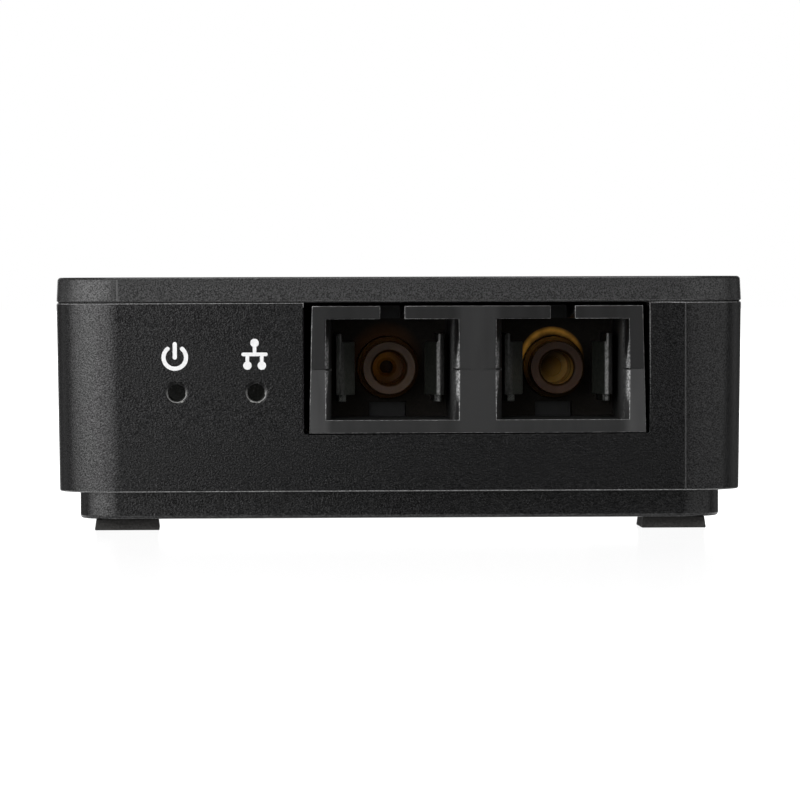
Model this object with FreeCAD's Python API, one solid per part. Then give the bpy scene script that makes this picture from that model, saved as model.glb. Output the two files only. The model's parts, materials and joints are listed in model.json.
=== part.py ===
import FreeCAD, Part
import math
import os

# A small bus powered adapter from a fibre network to a computer's serial bus socket.
# A two-part moulded case holds one circuit board. A duplex optical port block, of the push-in
# kind with 2.5 mm ferrules, looks out of a cut-out in the front wall, and a mini socket out of
# the back wall. Millimetres: X runs to the right as seen from the front, Y to the back, Z up.
# The origin is on the surface that the pads stand on, under the middle of the case.

# Case
WALL = 1.8
FLOOR = 1.7
CASE_DEPTH = 61.0
CORNER_RADIUS = 4.6
BODY_DRAFT = 0.8
PLINTH_HEIGHT = 2.03
PLINTH_INSET = 1.54
PLINTH_CHAMFER = 0.15
LID_HEIGHT = 1.9
LID_PLATE = 1.4
LID_DRAFT = 2.5
LID_CHAMFER = 0.15
PARTING_GAP = 0.1
PARTING_LAND = 0.1
TONGUE_THICKNESS = 0.9
TONGUE_DEPTH = 1.2
TONGUE_CLEARANCE = 0.1

# Rubber pads
FOOT_HEIGHT = 0.87
FOOT_SIZE = 4.85
FOOT_TAPER = 0.12

# Pillars that carry the board, posts of the cover that hold it down and hooks that snap the cover on
CORNER_INSET = 5.25
PILLAR_SIZE = 3.2
POST_SIZE = 3.2
HOOK_WIDTH = 5.0
HOOK_LENGTH = 5.0
HOOK_REACH = 0.6
HOOK_FLAT = 0.5
HOOK_RAMP = 1.4
HOOK_SPACING = 30.0
HOOK_CLEARANCE = 0.1

# Main circuit board
BOARD_LIFT = 0.2
BOARD_THICKNESS = 1.6
BOARD_CLEARANCE = 0.3

# Optical port block
PORT_PITCH = 12.7
PORT_WIDTH = 9.05
PORT_HEIGHT = 7.5
PORT_ROOF = 0.98
PORT_SIDE_WALL = 1.675
PORT_CHAMFER = 0.45
PORT_CHAMFER_DEPTH = 0.8
BLOCK_TAPER = 0.22
BLOCK_LENGTH = 39.6
BLOCK_STANDOFF = 0.86
BLOCK_WALL = 1.0
BLOCK_LID_GAP = 0.28
BLOCK_SIDE_GAP = 5.76
CUTOUT_GAP_LEFT = 0.37
CUTOUT_GAP_RIGHT = 0.23
KEY_WIDTH = 1.82
KEY_LENGTH = 9.0
SEAM_NOTCH = 0.16
SEAM_REACH = 0.9
SEAM_DEPTH = 0.08
BLOCK_PEG_RADIUS = 0.85
BLOCK_PEG_SPACING = 20.32
BLOCK_PEG_DEPTH = 15.0
BLOCK_PEG_CLEARANCE = 0.1
STANDOFF_SIZE = 2.4
STANDOFF_INSET = 2.0
STANDOFF_DEPTH = 4.5

# Latch clips, with depths measured from the front of the port block
CLIP_DEPTH = 10.5
CLIP_THICKNESS = 1.5
CLIP_LIP = 0.3
CLIP_CLEARANCE = 0.05
CLIP_NOTCH_WIDTH = 2.8
CLIP_NOTCH_HEIGHT = 1.1
LATCH_TIP_DEPTH = 4.6
LATCH_WALL_GAP = 0.45
LATCH_THICKNESS = 0.45
LATCH_TIP_CHAMFER = 0.2
LATCH_TIP_BEVEL = 0.1
LATCH_HOOK_REACH = 1.0
LATCH_HOOK_FLAT = 0.4
LATCH_RAMP_LENGTH = 1.5
LATCH_ABOVE_AXIS = 2.6
LATCH_BELOW_AXIS = 2.0
LATCH_HOOK_DROP = 0.6
LUG_WIDTH = 0.55
LUG_HEIGHT = 0.5
LUG_SETBACK = 0.35

# Ferrule barrels and the cans behind them
BARREL_TIP_DEPTH = 6.5
BARREL_NECK_LENGTH = 3.0
BARREL_NECK_RADIUS = 2.0
BARREL_BODY_RADIUS = 2.35
BARREL_FLANGE_RADIUS = 3.2
BARREL_FLANGE_LENGTH = 2.0
BARREL_CLEARANCE = 0.05
FERRULE_RADIUS = 1.25
FERRULE_DEPTH = 6.0
FERRULE_LEAD_IN = 0.15
APERTURE_RADIUS = 0.5
APERTURE_CHAMFER = 0.25
LENS_RADIUS = 0.8
LENS_RISE = 0.3
LENS_RECESS = 0.45
PARTITION_THICKNESS = 2.5
RETAINER_THICKNESS = 1.0
CAN_RADIUS = 2.2
CAN_LENGTH = 2.8
HEADER_RADIUS = 2.7
HEADER_THICKNESS = 0.9
OPTIC_LEAD_SIZE = 0.44
OPTIC_LEAD_LENGTH = 3.2
OPTIC_LEAD_PITCH = 1.27

# Port block's own board, chips and pins
OPTIC_BOARD_THICKNESS = 1.0
OPTIC_BOARD_CLEARANCE = 0.25
OPTIC_SHELF_WIDTH = 1.0
OPTIC_CHIP_WIDTH = 5.0
OPTIC_CHIP_LENGTH = 4.0
OPTIC_CHIP_HEIGHT = 1.2
PIN_COUNT = 9
PIN_PITCH = 2.54
PIN_SIZE = 0.46
PIN_CLEARANCE = 0.1
PIN_INSET = 4.4
PIN_SLOT_WIDTH = 1.2
PIN_STAND = 0.5
TAIL_BELOW_BOARD = 0.7

# Indicator lights
LIGHT_HEIGHT = 3.93
LIGHT_PITCH = 5.9
LIGHT_POST_GAP = 0.45
LIGHT_TO_BLOCK = 3.94
LIGHT_HOLE_RADIUS = 0.65
LIGHT_HOLE_CHAMFER = 0.1
LIGHT_WALL_GAP = 0.15
LIGHT_RADIUS = 1.5
LIGHT_BODY_LENGTH = 3.6
LIGHT_FLANGE_RADIUS = 1.7
LIGHT_FLANGE_LENGTH = 0.8
LIGHT_LEAD_SIZE = 0.45
LIGHT_LEAD_PITCH = 2.54
LIGHT_LEAD_RUN = 1.4

# Mini socket in the back wall
SOCKET_WIDTH = 7.7
SOCKET_CHIN_WIDTH = 6.1
SOCKET_HEIGHT = 3.95
SOCKET_SHOULDER = 1.75
SOCKET_LENGTH = 9.2
SOCKET_SHEET = 0.3
SOCKET_BEND = 0.45
SOCKET_SINK = 0.3
SOCKET_WINDOW_GAP = 0.25
SOCKET_FIT = 0.02
SOCKET_TAB_WIDTH = 1.3
SOCKET_TAB_INSET = 2.0
SOCKET_TAB_CLEARANCE = 0.2
SOCKET_BASE_LENGTH = 2.4
TONGUE_BLADE_WIDTH = 4.5
TONGUE_BLADE_THICKNESS = 0.8
TONGUE_BLADE_HEIGHT = 1.6
TONGUE_BLADE_SETBACK = 0.9
CONTACT_COUNT = 5
CONTACT_PITCH = 0.8
CONTACT_WIDTH = 0.35
CONTACT_THICKNESS = 0.15
CONTACT_SETBACK = 0.4
CONTACT_FOOT_LENGTH = 0.9

# Parts on the main board
ROW_FROM_FRONT = 8.8
ROW_GAP = 1.2
CHIP_LIFT = 0.1
CONTROLLER_SIZE = 9.0
CONTROLLER_HEIGHT = 0.9
MEMORY_LENGTH = 4.9
MEMORY_WIDTH = 3.9
MEMORY_HEIGHT = 1.5
MEMORY_LEAD_COUNT = 4
MEMORY_LEAD_PITCH = 1.27
MEMORY_FROM_BACK = 11.5
REGULATOR_LENGTH = 6.5
REGULATOR_WIDTH = 3.5
REGULATOR_HEIGHT = 1.6
REGULATOR_LEAD_COUNT = 3
REGULATOR_LEAD_PITCH = 2.3
REGULATOR_TAB_WIDTH = 3.0
LEAD_REACH = 1.0
LEAD_FOOT = 0.5
LEAD_THICKNESS = 0.13
MEMORY_LEAD_WIDTH = 0.45
REGULATOR_LEAD_WIDTH = 0.9
MOULD_STEP = 0.12
CRYSTAL_LENGTH = 5.0
CRYSTAL_WIDTH = 3.2
CRYSTAL_BASE_HEIGHT = 0.7
CRYSTAL_LID_HEIGHT = 0.4
CRYSTAL_LID_INSET = 0.3
CRYSTAL_FROM_BACK = 5.0
CAPACITOR_LENGTH = 7.3
CAPACITOR_WIDTH = 4.3
CAPACITOR_HEIGHT = 2.9
CAPACITOR_COUNT = 2
INDUCTOR_SIZE = 4.0
INDUCTOR_HEIGHT = 2.0
INDUCTOR_SPACING = 5.2
PASSIVE_LENGTH = 1.6
PASSIVE_WIDTH = 0.8
PASSIVE_HEIGHT = 0.55
PASSIVE_COUNT = 8
PASSIVE_PITCH = 2.6
PASSIVE_FROM_FRONT = 9.5
PASSIVE_INSET = 2.0

# Overlap of tools that cut or join past a face
MARGIN = 1.0

# Heights, from the surface up
PLINTH_BOTTOM_Z = FOOT_HEIGHT
FLOOR_Z = PLINTH_BOTTOM_Z + FLOOR
BODY_BOTTOM_Z = PLINTH_BOTTOM_Z + PLINTH_HEIGHT
LEDGE_Z = BODY_BOTTOM_Z + FLOOR
BOARD_BOTTOM_Z = LEDGE_Z + BOARD_LIFT
BOARD_TOP_Z = BOARD_BOTTOM_Z + BOARD_THICKNESS
TAIL_BOTTOM_Z = BOARD_BOTTOM_Z - TAIL_BELOW_BOARD
LIGHT_Z = BOARD_TOP_Z + LIGHT_HEIGHT
BLOCK_HEIGHT = PORT_HEIGHT + 2 * PORT_ROOF
BLOCK_BOTTOM_Z = BOARD_TOP_Z + BLOCK_STANDOFF
BLOCK_TOP_Z = BLOCK_BOTTOM_Z + BLOCK_HEIGHT
AXIS_Z = BLOCK_BOTTOM_Z + BLOCK_HEIGHT / 2
PARTING_Z = BLOCK_TOP_Z + BLOCK_LID_GAP
LID_EDGE_Z = PARTING_Z + PARTING_GAP
TOP_Z = PARTING_Z + LID_HEIGHT
LID_UNDERSIDE_Z = TOP_Z - LID_PLATE
HOOK_BOTTOM_Z = PARTING_Z - HOOK_LENGTH

# Places across the case, added up from its left side to its right side
BLOCK_WIDTH = PORT_PITCH + PORT_WIDTH + 2 * PORT_SIDE_WALL
LIGHT_EDGE = CORNER_INSET + POST_SIZE / 2 + LIGHT_POST_GAP + LIGHT_FLANGE_RADIUS
BLOCK_EDGE = LIGHT_EDGE + LIGHT_PITCH + LIGHT_TO_BLOCK
CASE_WIDTH = BLOCK_EDGE + BLOCK_WIDTH + BLOCK_SIDE_GAP + WALL
BLOCK_LEFT_X = BLOCK_EDGE - CASE_WIDTH / 2
BLOCK_RIGHT_X = BLOCK_LEFT_X + BLOCK_WIDTH
BLOCK_X = BLOCK_LEFT_X + BLOCK_WIDTH / 2
POWER_LIGHT_X = LIGHT_EDGE - CASE_WIDTH / 2
LINK_LIGHT_X = POWER_LIGHT_X + LIGHT_PITCH
TRANSMIT_X = BLOCK_X - PORT_PITCH / 2
RECEIVE_X = BLOCK_X + PORT_PITCH / 2
CORNER_X = CASE_WIDTH / 2 - CORNER_INSET
SOCKET_X = 0.0

# Places along the case
FRONT_Y = -CASE_DEPTH / 2
BACK_Y = CASE_DEPTH / 2
CORNER_Y = BACK_Y - CORNER_INSET
BLOCK_FRONT_Y = FRONT_Y
BLOCK_BACK_Y = BLOCK_FRONT_Y + BLOCK_LENGTH
SOCKET_MOUTH_Y = BACK_Y - SOCKET_SINK
SOCKET_INNER_Y = SOCKET_MOUTH_Y - SOCKET_LENGTH
CORNERS = [(x, y) for x in (-CORNER_X, CORNER_X) for y in (-CORNER_Y, CORNER_Y)]
HOOK_YS = [-HOOK_SPACING / 2, HOOK_SPACING / 2]

# Depths inside the port block, from its front
PARTITION_DEPTH = CLIP_DEPTH + CLIP_THICKNESS
FLANGE_DEPTH = PARTITION_DEPTH + PARTITION_THICKNESS
CAN_DEPTH = FLANGE_DEPTH + BARREL_FLANGE_LENGTH
CHAMBER_DEPTH = CAN_DEPTH + RETAINER_THICKNESS
HEADER_DEPTH = CAN_DEPTH + CAN_LENGTH
OPTIC_LEAD_DEPTH = HEADER_DEPTH + HEADER_THICKNESS
FERRULE_END_DEPTH = BARREL_TIP_DEPTH + FERRULE_DEPTH
CHAMBER_END_DEPTH = BLOCK_LENGTH - BLOCK_WALL
CHAMBER_HALF_WIDTH = BLOCK_WIDTH / 2 - BLOCK_TAPER - BLOCK_WALL
CHAMBER_FLOOR_Z = BLOCK_BOTTOM_Z + PORT_ROOF
OPTIC_BOARD_TOP_Z = AXIS_Z - OPTIC_LEAD_SIZE / 2
OPTIC_BOARD_BOTTOM_Z = OPTIC_BOARD_TOP_Z - OPTIC_BOARD_THICKNESS
PIN_Y = BLOCK_BACK_Y - PIN_INSET
PEG_Y = BLOCK_FRONT_Y + BLOCK_PEG_DEPTH
PEG_XS = [BLOCK_X - BLOCK_PEG_SPACING / 2, BLOCK_X + BLOCK_PEG_SPACING / 2]
PIN_XS = [BLOCK_X + PIN_PITCH * (i - (PIN_COUNT - 1) / 2) for i in range(PIN_COUNT)]

X_AXIS = FreeCAD.Vector(1, 0, 0)
Y_AXIS = FreeCAD.Vector(0, 1, 0)
Z_AXIS = FreeCAD.Vector(0, 0, 1)


def point(x, y, z):
    return FreeCAD.Vector(x, y, z)


def about(middle, width):
    return (middle - width / 2, middle + width / 2)


def box(x_range, y_range, z_range):
    sizes = [high - low for low, high in (x_range, y_range, z_range)]
    return Part.makeBox(*sizes, point(x_range[0], y_range[0], z_range[0]))


def upright(radius, x, y, z_low, z_high):
    return Part.makeCylinder(radius, z_high - z_low, point(x, y, z_low), Z_AXIS)


def square_post(x, y, size, z_range):
    return box(about(x, size), about(y, size), z_range)


def prism(points, sweep):
    face = Part.Face(Part.makePolygon(points + points[:1]))
    return face.extrude(sweep)


def turned(profile, x, z):
    """A solid turned about the line along Y at (x, z), from (radius, y) points."""
    points = [point(x + radius, y, z) for radius, y in profile]
    face = Part.Face(Part.makePolygon(points + points[:1]))
    return face.revolve(point(x, 0, z), Y_AXIS, 360)


def tapered_box(length, width, z_low, z_high, inset_low=0.0, inset_high=0.0):
    """A square-cornered block on the Z axis, its sides set in by their own amount at either end."""
    low_x = length / 2 - inset_low
    low_y = width / 2 - inset_low
    high_x = length / 2 - inset_high
    high_y = width / 2 - inset_high
    wedge = Part.makeWedge(-low_x, 0.0, -low_y, -high_y, -high_x,
                           low_x, z_high - z_low, low_y, high_y, high_x)
    wedge.rotate(point(0, 0, 0), X_AXIS, 90)
    wedge.translate(point(0, 0, z_low))
    return wedge


def edges_at(shape, level):
    """The edges that lie flat at one height."""
    close = 1e-3
    return [edge for edge in shape.Edges
            if abs(edge.BoundBox.ZMin - level) < close and abs(edge.BoundBox.ZMax - level) < close]


def chamfered(shape, size, level):
    return shape.makeChamfer(size, edges_at(shape, level))


def moved(shape, x, y, z=0.0):
    copy = shape.copy()
    copy.translate(point(x, y, z))
    return copy


def block_y(depth):
    return BLOCK_FRONT_Y + depth


def body_inset(z):
    """How far the lower case's drafted wall stands in from the parting line at a height."""
    return (PARTING_Z - z) * math.tan(math.radians(BODY_DRAFT))


def lid_inset(z):
    return (z - PARTING_Z) * math.tan(math.radians(LID_DRAFT))


def case_block(inset, z_low, z_high, inset_at=lambda z: 0.0):
    """The case's outline at the parting line, set in all round, between two heights."""
    block = tapered_box(CASE_WIDTH - 2 * inset, CASE_DEPTH - 2 * inset, z_low, z_high,
                        inset_at(z_low), inset_at(z_high))
    uprights = [edge for edge in block.Edges if edge.BoundBox.ZLength > (z_high - z_low) / 2]
    return block.makeFillet(CORNER_RADIUS - inset, uprights)


def plinth_edge():
    return body_inset(BODY_BOTTOM_Z) + PLINTH_INSET


def make_lower_case():
    body = case_block(0.0, BODY_BOTTOM_Z, PARTING_Z, body_inset)
    plinth = case_block(plinth_edge(), PLINTH_BOTTOM_Z, BODY_BOTTOM_Z + FLOOR / 2)
    plinth = chamfered(plinth, PLINTH_CHAMFER, PLINTH_BOTTOM_Z)
    upper_hollow = case_block(WALL, LEDGE_Z, PARTING_Z + MARGIN, body_inset)
    lower_hollow = case_block(plinth_edge() + WALL, FLOOR_Z, LEDGE_Z + MARGIN)
    case = body.fuse(plinth).cut(upper_hollow.fuse(lower_hollow))
    pillar_z = (PLINTH_BOTTOM_Z + FLOOR / 2, BOARD_BOTTOM_Z)
    pillars = [square_post(x, y, PILLAR_SIZE, pillar_z) for x, y in CORNERS]
    case = case.fuse(pillars).removeSplitter()
    return case.cut([block_cutout(), socket_window()] + light_holes() + hook_pockets())


def hook_face():
    """How far from the middle the outer face of a snap hook's arm lies."""
    return CASE_WIDTH / 2 - WALL - TONGUE_CLEARANCE - body_inset(HOOK_BOTTOM_Z)


def hook_tooth_z():
    return HOOK_BOTTOM_Z + HOOK_RAMP + HOOK_FLAT


def hook_pockets():
    """Recesses inside the side walls that the cover's hooks snap into."""
    pockets = []
    near = hook_face()
    far = near + HOOK_REACH + HOOK_CLEARANCE
    for side in (-1, 1):
        for y in HOOK_YS:
            pockets.append(box(sorted((side * near, side * far)), about(y, HOOK_WIDTH + 2 * HOOK_CLEARANCE),
                               (HOOK_BOTTOM_Z - HOOK_CLEARANCE, hook_tooth_z() + HOOK_CLEARANCE)))
    return pockets


def block_cutout():
    return box((BLOCK_LEFT_X - CUTOUT_GAP_LEFT, BLOCK_RIGHT_X + CUTOUT_GAP_RIGHT),
               (FRONT_Y - MARGIN, FRONT_Y + WALL + MARGIN),
               (BLOCK_BOTTOM_Z, PARTING_Z + MARGIN))


def socket_window():
    return box(about(SOCKET_X, SOCKET_WIDTH + 2 * SOCKET_WINDOW_GAP),
               (BACK_Y - WALL - MARGIN, BACK_Y + MARGIN),
               (BOARD_TOP_Z - SOCKET_WINDOW_GAP, BOARD_TOP_Z + SOCKET_HEIGHT + SOCKET_WINDOW_GAP))


def light_holes():
    holes = []
    face_y = FRONT_Y + body_inset(LIGHT_Z)
    for x in (POWER_LIGHT_X, LINK_LIGHT_X):
        start = point(x, face_y - MARGIN, LIGHT_Z)
        holes.append(Part.makeCylinder(LIGHT_HOLE_RADIUS, WALL + 2 * MARGIN, start, Y_AXIS))
        holes.append(Part.makeCone(LIGHT_HOLE_RADIUS + LIGHT_HOLE_CHAMFER + MARGIN, LIGHT_HOLE_RADIUS,
                                   LIGHT_HOLE_CHAMFER + MARGIN, start, Y_AXIS))
    return holes


def make_top_cover():
    skirt = case_block(0.0, LID_EDGE_Z, TOP_Z, lid_inset)
    skirt = chamfered(skirt, LID_CHAMFER, TOP_Z)
    inner = WALL + TONGUE_CLEARANCE
    land = case_block(PARTING_LAND, PARTING_Z, LID_UNDERSIDE_Z)
    tongue = case_block(inner, PARTING_Z - TONGUE_DEPTH, LID_UNDERSIDE_Z)
    pocket = case_block(inner + TONGUE_THICKNESS, PARTING_Z - TONGUE_DEPTH - MARGIN, LID_UNDERSIDE_Z)
    block_relief = box((BLOCK_LEFT_X - CUTOUT_GAP_LEFT, BLOCK_RIGHT_X + CUTOUT_GAP_RIGHT),
                       (FRONT_Y - MARGIN, FRONT_Y + inner + TONGUE_THICKNESS + MARGIN),
                       (PARTING_Z - TONGUE_DEPTH - MARGIN, PARTING_Z))
    cover = skirt.fuse([land, tongue]).cut([pocket, block_relief])
    post_z = (BOARD_TOP_Z, LID_UNDERSIDE_Z + LID_PLATE / 2)
    posts = [square_post(x, y, POST_SIZE, post_z) for x, y in CORNERS]
    return cover.fuse(posts + snap_hooks()).removeSplitter()


def snap_hooks():
    """Spring arms that hang from the cover along both sides, each with a tooth that faces outward."""
    hooks = []
    face = hook_face()
    tooth = face + HOOK_REACH
    back = face - TONGUE_THICKNESS
    top_z = LID_UNDERSIDE_Z + LID_PLATE / 2
    tooth_z = hook_tooth_z()
    outline = [(back, top_z), (face, top_z), (face, tooth_z), (tooth, tooth_z),
               (tooth, tooth_z - HOOK_FLAT), (face, HOOK_BOTTOM_Z), (back, HOOK_BOTTOM_Z)]
    for side in (-1, 1):
        for y in HOOK_YS:
            corners = [point(side * x, y - HOOK_WIDTH / 2, z) for x, z in outline]
            hooks.append(prism(corners, Y_AXIS * HOOK_WIDTH))
    return hooks


def make_foot(x, y):
    return moved(tapered_box(FOOT_SIZE, FOOT_SIZE, 0.0, FOOT_HEIGHT, 0.0, FOOT_TAPER), x, y)


def board_edge():
    return WALL + body_inset(BOARD_BOTTOM_Z) + BOARD_CLEARANCE


def make_main_board():
    half_x = CASE_WIDTH / 2 - board_edge()
    half_y = CASE_DEPTH / 2 - board_edge()
    cut = CORNER_RADIUS - board_edge()
    outline = [(half_x, half_y - cut), (half_x - cut, half_y),
               (cut - half_x, half_y), (-half_x, half_y - cut),
               (-half_x, cut - half_y), (cut - half_x, -half_y),
               (half_x - cut, -half_y), (half_x, cut - half_y)]
    board = prism([point(x, y, BOARD_BOTTOM_Z) for x, y in outline], Z_AXIS * BOARD_THICKNESS)
    through = (BOARD_BOTTOM_Z - MARGIN, BOARD_TOP_Z + MARGIN)
    holes = [upright(BLOCK_PEG_RADIUS + BLOCK_PEG_CLEARANCE, x, PEG_Y, *through) for x in PEG_XS]
    holes += [square_post(x, PIN_Y, PIN_SIZE + 2 * PIN_CLEARANCE, through) for x in PIN_XS]
    lead_hole = LIGHT_LEAD_SIZE + 2 * PIN_CLEARANCE
    holes += [square_post(x, light_lead_y(), lead_hole, through) for x in light_lead_xs()]
    return board.cut(holes + socket_tabs(SOCKET_TAB_CLEARANCE))


def block_blank(z_low, z_high):
    def half(z):
        return BLOCK_WIDTH / 2 - BLOCK_TAPER * (z - BLOCK_BOTTOM_Z) / BLOCK_HEIGHT

    section = [(BLOCK_X - half(z_low), z_low), (BLOCK_X + half(z_low), z_low),
               (BLOCK_X + half(z_high), z_high), (BLOCK_X - half(z_high), z_high)]
    return prism([point(x, BLOCK_FRONT_Y, z) for x, z in section], Y_AXIS * BLOCK_LENGTH)


def port_hollow(x):
    """Everything cut from the two half shells for one port: mouth, clip groove and barrel seat."""
    mouth = box(about(x, PORT_WIDTH), (block_y(-MARGIN), block_y(PARTITION_DEPTH)),
                about(AXIS_Z, PORT_HEIGHT))
    half = PORT_WIDTH / 2
    flare = prism([point(x - half - PORT_CHAMFER, block_y(0), AXIS_Z - PORT_HEIGHT / 2),
                   point(x + half + PORT_CHAMFER, block_y(0), AXIS_Z - PORT_HEIGHT / 2),
                   point(x + half, block_y(PORT_CHAMFER_DEPTH), AXIS_Z - PORT_HEIGHT / 2),
                   point(x - half, block_y(PORT_CHAMFER_DEPTH), AXIS_Z - PORT_HEIGHT / 2)],
                  Z_AXIS * PORT_HEIGHT)
    lip = 2 * (CLIP_LIP + CLIP_CLEARANCE)
    groove = box(about(x, PORT_WIDTH + lip), (block_y(CLIP_DEPTH), block_y(PARTITION_DEPTH)),
                 about(AXIS_Z, PORT_HEIGHT + lip))
    flare_half = half + PORT_CHAMFER
    seam_edge = box(about(x, 2 * flare_half), (block_y(0), block_y(PORT_CHAMFER_DEPTH)),
                    about(AXIS_Z, SEAM_NOTCH))
    seam_face = box(about(x, 2 * (flare_half + SEAM_REACH)), (block_y(-MARGIN), block_y(SEAM_DEPTH)),
                    about(AXIS_Z, SEAM_NOTCH / 2))
    seat = barrel_form(x, BARREL_CLEARANCE)
    retainer = Part.makeCylinder(CAN_RADIUS + BARREL_CLEARANCE, RETAINER_THICKNESS + MARGIN,
                                 point(x, block_y(CAN_DEPTH - MARGIN), AXIS_Z), Y_AXIS)
    return mouth.fuse([flare, groove, seam_edge, seam_face, seat, retainer])


def block_chamber():
    return box(about(BLOCK_X, 2 * CHAMBER_HALF_WIDTH), (block_y(CHAMBER_DEPTH), block_y(CHAMBER_END_DEPTH)),
               (CHAMBER_FLOOR_Z, BLOCK_TOP_Z - PORT_ROOF))


def block_hollows():
    return [port_hollow(TRANSMIT_X), port_hollow(RECEIVE_X), block_chamber()]


def make_port_shell_upper():
    key_y = (block_y(-MARGIN), block_y(KEY_LENGTH))
    keys = [box(about(x, KEY_WIDTH), key_y, (AXIS_Z, BLOCK_TOP_Z + MARGIN)) for x in (TRANSMIT_X, RECEIVE_X)]
    return block_blank(AXIS_Z, BLOCK_TOP_Z).cut(block_hollows() + keys)


def make_port_shell_lower():
    shell = block_blank(BLOCK_BOTTOM_Z, AXIS_Z).cut(block_hollows())
    shelf_y = (block_y(OPTIC_LEAD_DEPTH), block_y(CHAMBER_END_DEPTH))
    shelf_z = (CHAMBER_FLOOR_Z - PORT_ROOF / 2, OPTIC_BOARD_BOTTOM_Z)
    inner = CHAMBER_HALF_WIDTH - OPTIC_SHELF_WIDTH
    outer = CHAMBER_HALF_WIDTH + BLOCK_WALL / 2
    added = [box((BLOCK_X - outer, BLOCK_X - inner), shelf_y, shelf_z),
             box((BLOCK_X + inner, BLOCK_X + outer), shelf_y, shelf_z)]
    reach = BLOCK_WIDTH / 2 - STANDOFF_INSET
    for x in (BLOCK_X - reach, BLOCK_X + reach):
        for depth in (STANDOFF_DEPTH, BLOCK_LENGTH - STANDOFF_INSET):
            added.append(box(about(x, STANDOFF_SIZE), about(block_y(depth), STANDOFF_SIZE),
                             (BOARD_TOP_Z, BLOCK_BOTTOM_Z + PORT_ROOF / 2)))
    for x in PEG_XS:
        added.append(upright(BLOCK_PEG_RADIUS, x, PEG_Y, TAIL_BOTTOM_Z, BLOCK_BOTTOM_Z + PORT_ROOF / 2))
    slot = box(about(BLOCK_X, PIN_PITCH * PIN_COUNT), about(PIN_Y, PIN_SLOT_WIDTH),
               (BLOCK_BOTTOM_Z - MARGIN, OPTIC_BOARD_BOTTOM_Z))
    return shell.fuse(added).removeSplitter().cut(slot)


def barrel_form(x, clearance=0.0):
    """The outside of a ferrule barrel, or with a clearance the seat that holds it."""
    neck = BARREL_NECK_RADIUS + clearance
    body = BARREL_BODY_RADIUS + clearance
    flange = BARREL_FLANGE_RADIUS + clearance
    tip_y = block_y(BARREL_TIP_DEPTH)
    body_y = block_y(BARREL_TIP_DEPTH + BARREL_NECK_LENGTH)
    flange_y = block_y(FLANGE_DEPTH)
    end_y = block_y(CAN_DEPTH)
    profile = [(0, tip_y), (neck, tip_y), (neck, body_y), (body, body_y),
               (body, flange_y), (flange, flange_y), (flange, end_y), (0, end_y)]
    return turned(profile, x, AXIS_Z)


def ferrule_bore(x):
    tip_y = block_y(BARREL_TIP_DEPTH)
    end_y = block_y(FERRULE_END_DEPTH)
    mouth = FERRULE_RADIUS + FERRULE_LEAD_IN
    return turned([(0, tip_y - MARGIN), (mouth, tip_y - MARGIN), (mouth, tip_y),
                   (FERRULE_RADIUS, tip_y + FERRULE_LEAD_IN), (FERRULE_RADIUS, end_y), (0, end_y)], x, AXIS_Z)


def make_transmit_barrel():
    bore_end = point(TRANSMIT_X, block_y(FERRULE_END_DEPTH), AXIS_Z)
    aperture = Part.makeCylinder(APERTURE_RADIUS, BLOCK_LENGTH, bore_end, Y_AXIS)
    countersink = Part.makeCone(APERTURE_RADIUS + APERTURE_CHAMFER, APERTURE_RADIUS, APERTURE_CHAMFER,
                                bore_end, Y_AXIS)
    return barrel_form(TRANSMIT_X).cut([ferrule_bore(TRANSMIT_X), aperture, countersink])


def make_receive_barrel():
    """The receiving barrel has a moulded lens in a recess behind its bore instead of an aperture."""
    curve = (LENS_RADIUS ** 2 + LENS_RISE ** 2) / (2 * LENS_RISE)
    bore_end = point(RECEIVE_X, block_y(FERRULE_END_DEPTH), AXIS_Z)
    lens_centre = bore_end + Y_AXIS * (LENS_RECESS - LENS_RISE + curve)
    recess = Part.makeCylinder(LENS_RADIUS, LENS_RECESS, bore_end, Y_AXIS)
    recess = recess.cut(Part.makeSphere(curve, lens_centre))
    return barrel_form(RECEIVE_X).cut([ferrule_bore(RECEIVE_X), recess])


def make_optic_can(x):
    front_y = block_y(CAN_DEPTH)
    header_y = block_y(HEADER_DEPTH)
    back_y = block_y(OPTIC_LEAD_DEPTH)
    return turned([(0, front_y), (CAN_RADIUS, front_y), (CAN_RADIUS, header_y), (HEADER_RADIUS, header_y),
                   (HEADER_RADIUS, back_y), (0, back_y)], x, AXIS_Z)


def make_optic_leads():
    leads = []
    for x in (TRANSMIT_X, RECEIVE_X):
        for step in (-1, 0, 1):
            start_y = block_y(OPTIC_LEAD_DEPTH)
            leads.append(box(about(x + step * OPTIC_LEAD_PITCH, OPTIC_LEAD_SIZE),
                             (start_y, start_y + OPTIC_LEAD_LENGTH), about(AXIS_Z, OPTIC_LEAD_SIZE)))
    return Part.makeCompound(leads)


def make_latch_clip(x):
    """One moulded clip: a plate round the barrel and two hooked arms that reach forward."""
    lip = 2 * CLIP_LIP
    plate = box(about(x, PORT_WIDTH + lip), (block_y(CLIP_DEPTH), block_y(PARTITION_DEPTH)),
                about(AXIS_Z, PORT_HEIGHT + lip))
    hole = Part.makeCylinder(BARREL_BODY_RADIUS + BARREL_CLEARANCE, CLIP_THICKNESS + 2 * MARGIN,
                             point(x, block_y(CLIP_DEPTH - MARGIN), AXIS_Z), Y_AXIS)
    notch_top_z = AXIS_Z - PORT_HEIGHT / 2 + CLIP_NOTCH_HEIGHT
    notch_y = (block_y(CLIP_DEPTH - MARGIN), block_y(PARTITION_DEPTH + MARGIN))
    notch = box(about(x, CLIP_NOTCH_WIDTH), notch_y, (AXIS_Z - PORT_HEIGHT, notch_top_z))
    arms = latch_arm(x, -1) + latch_arm(x, 1)
    return plate.cut([hole, notch]).fuse(arms).removeSplitter()


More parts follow.
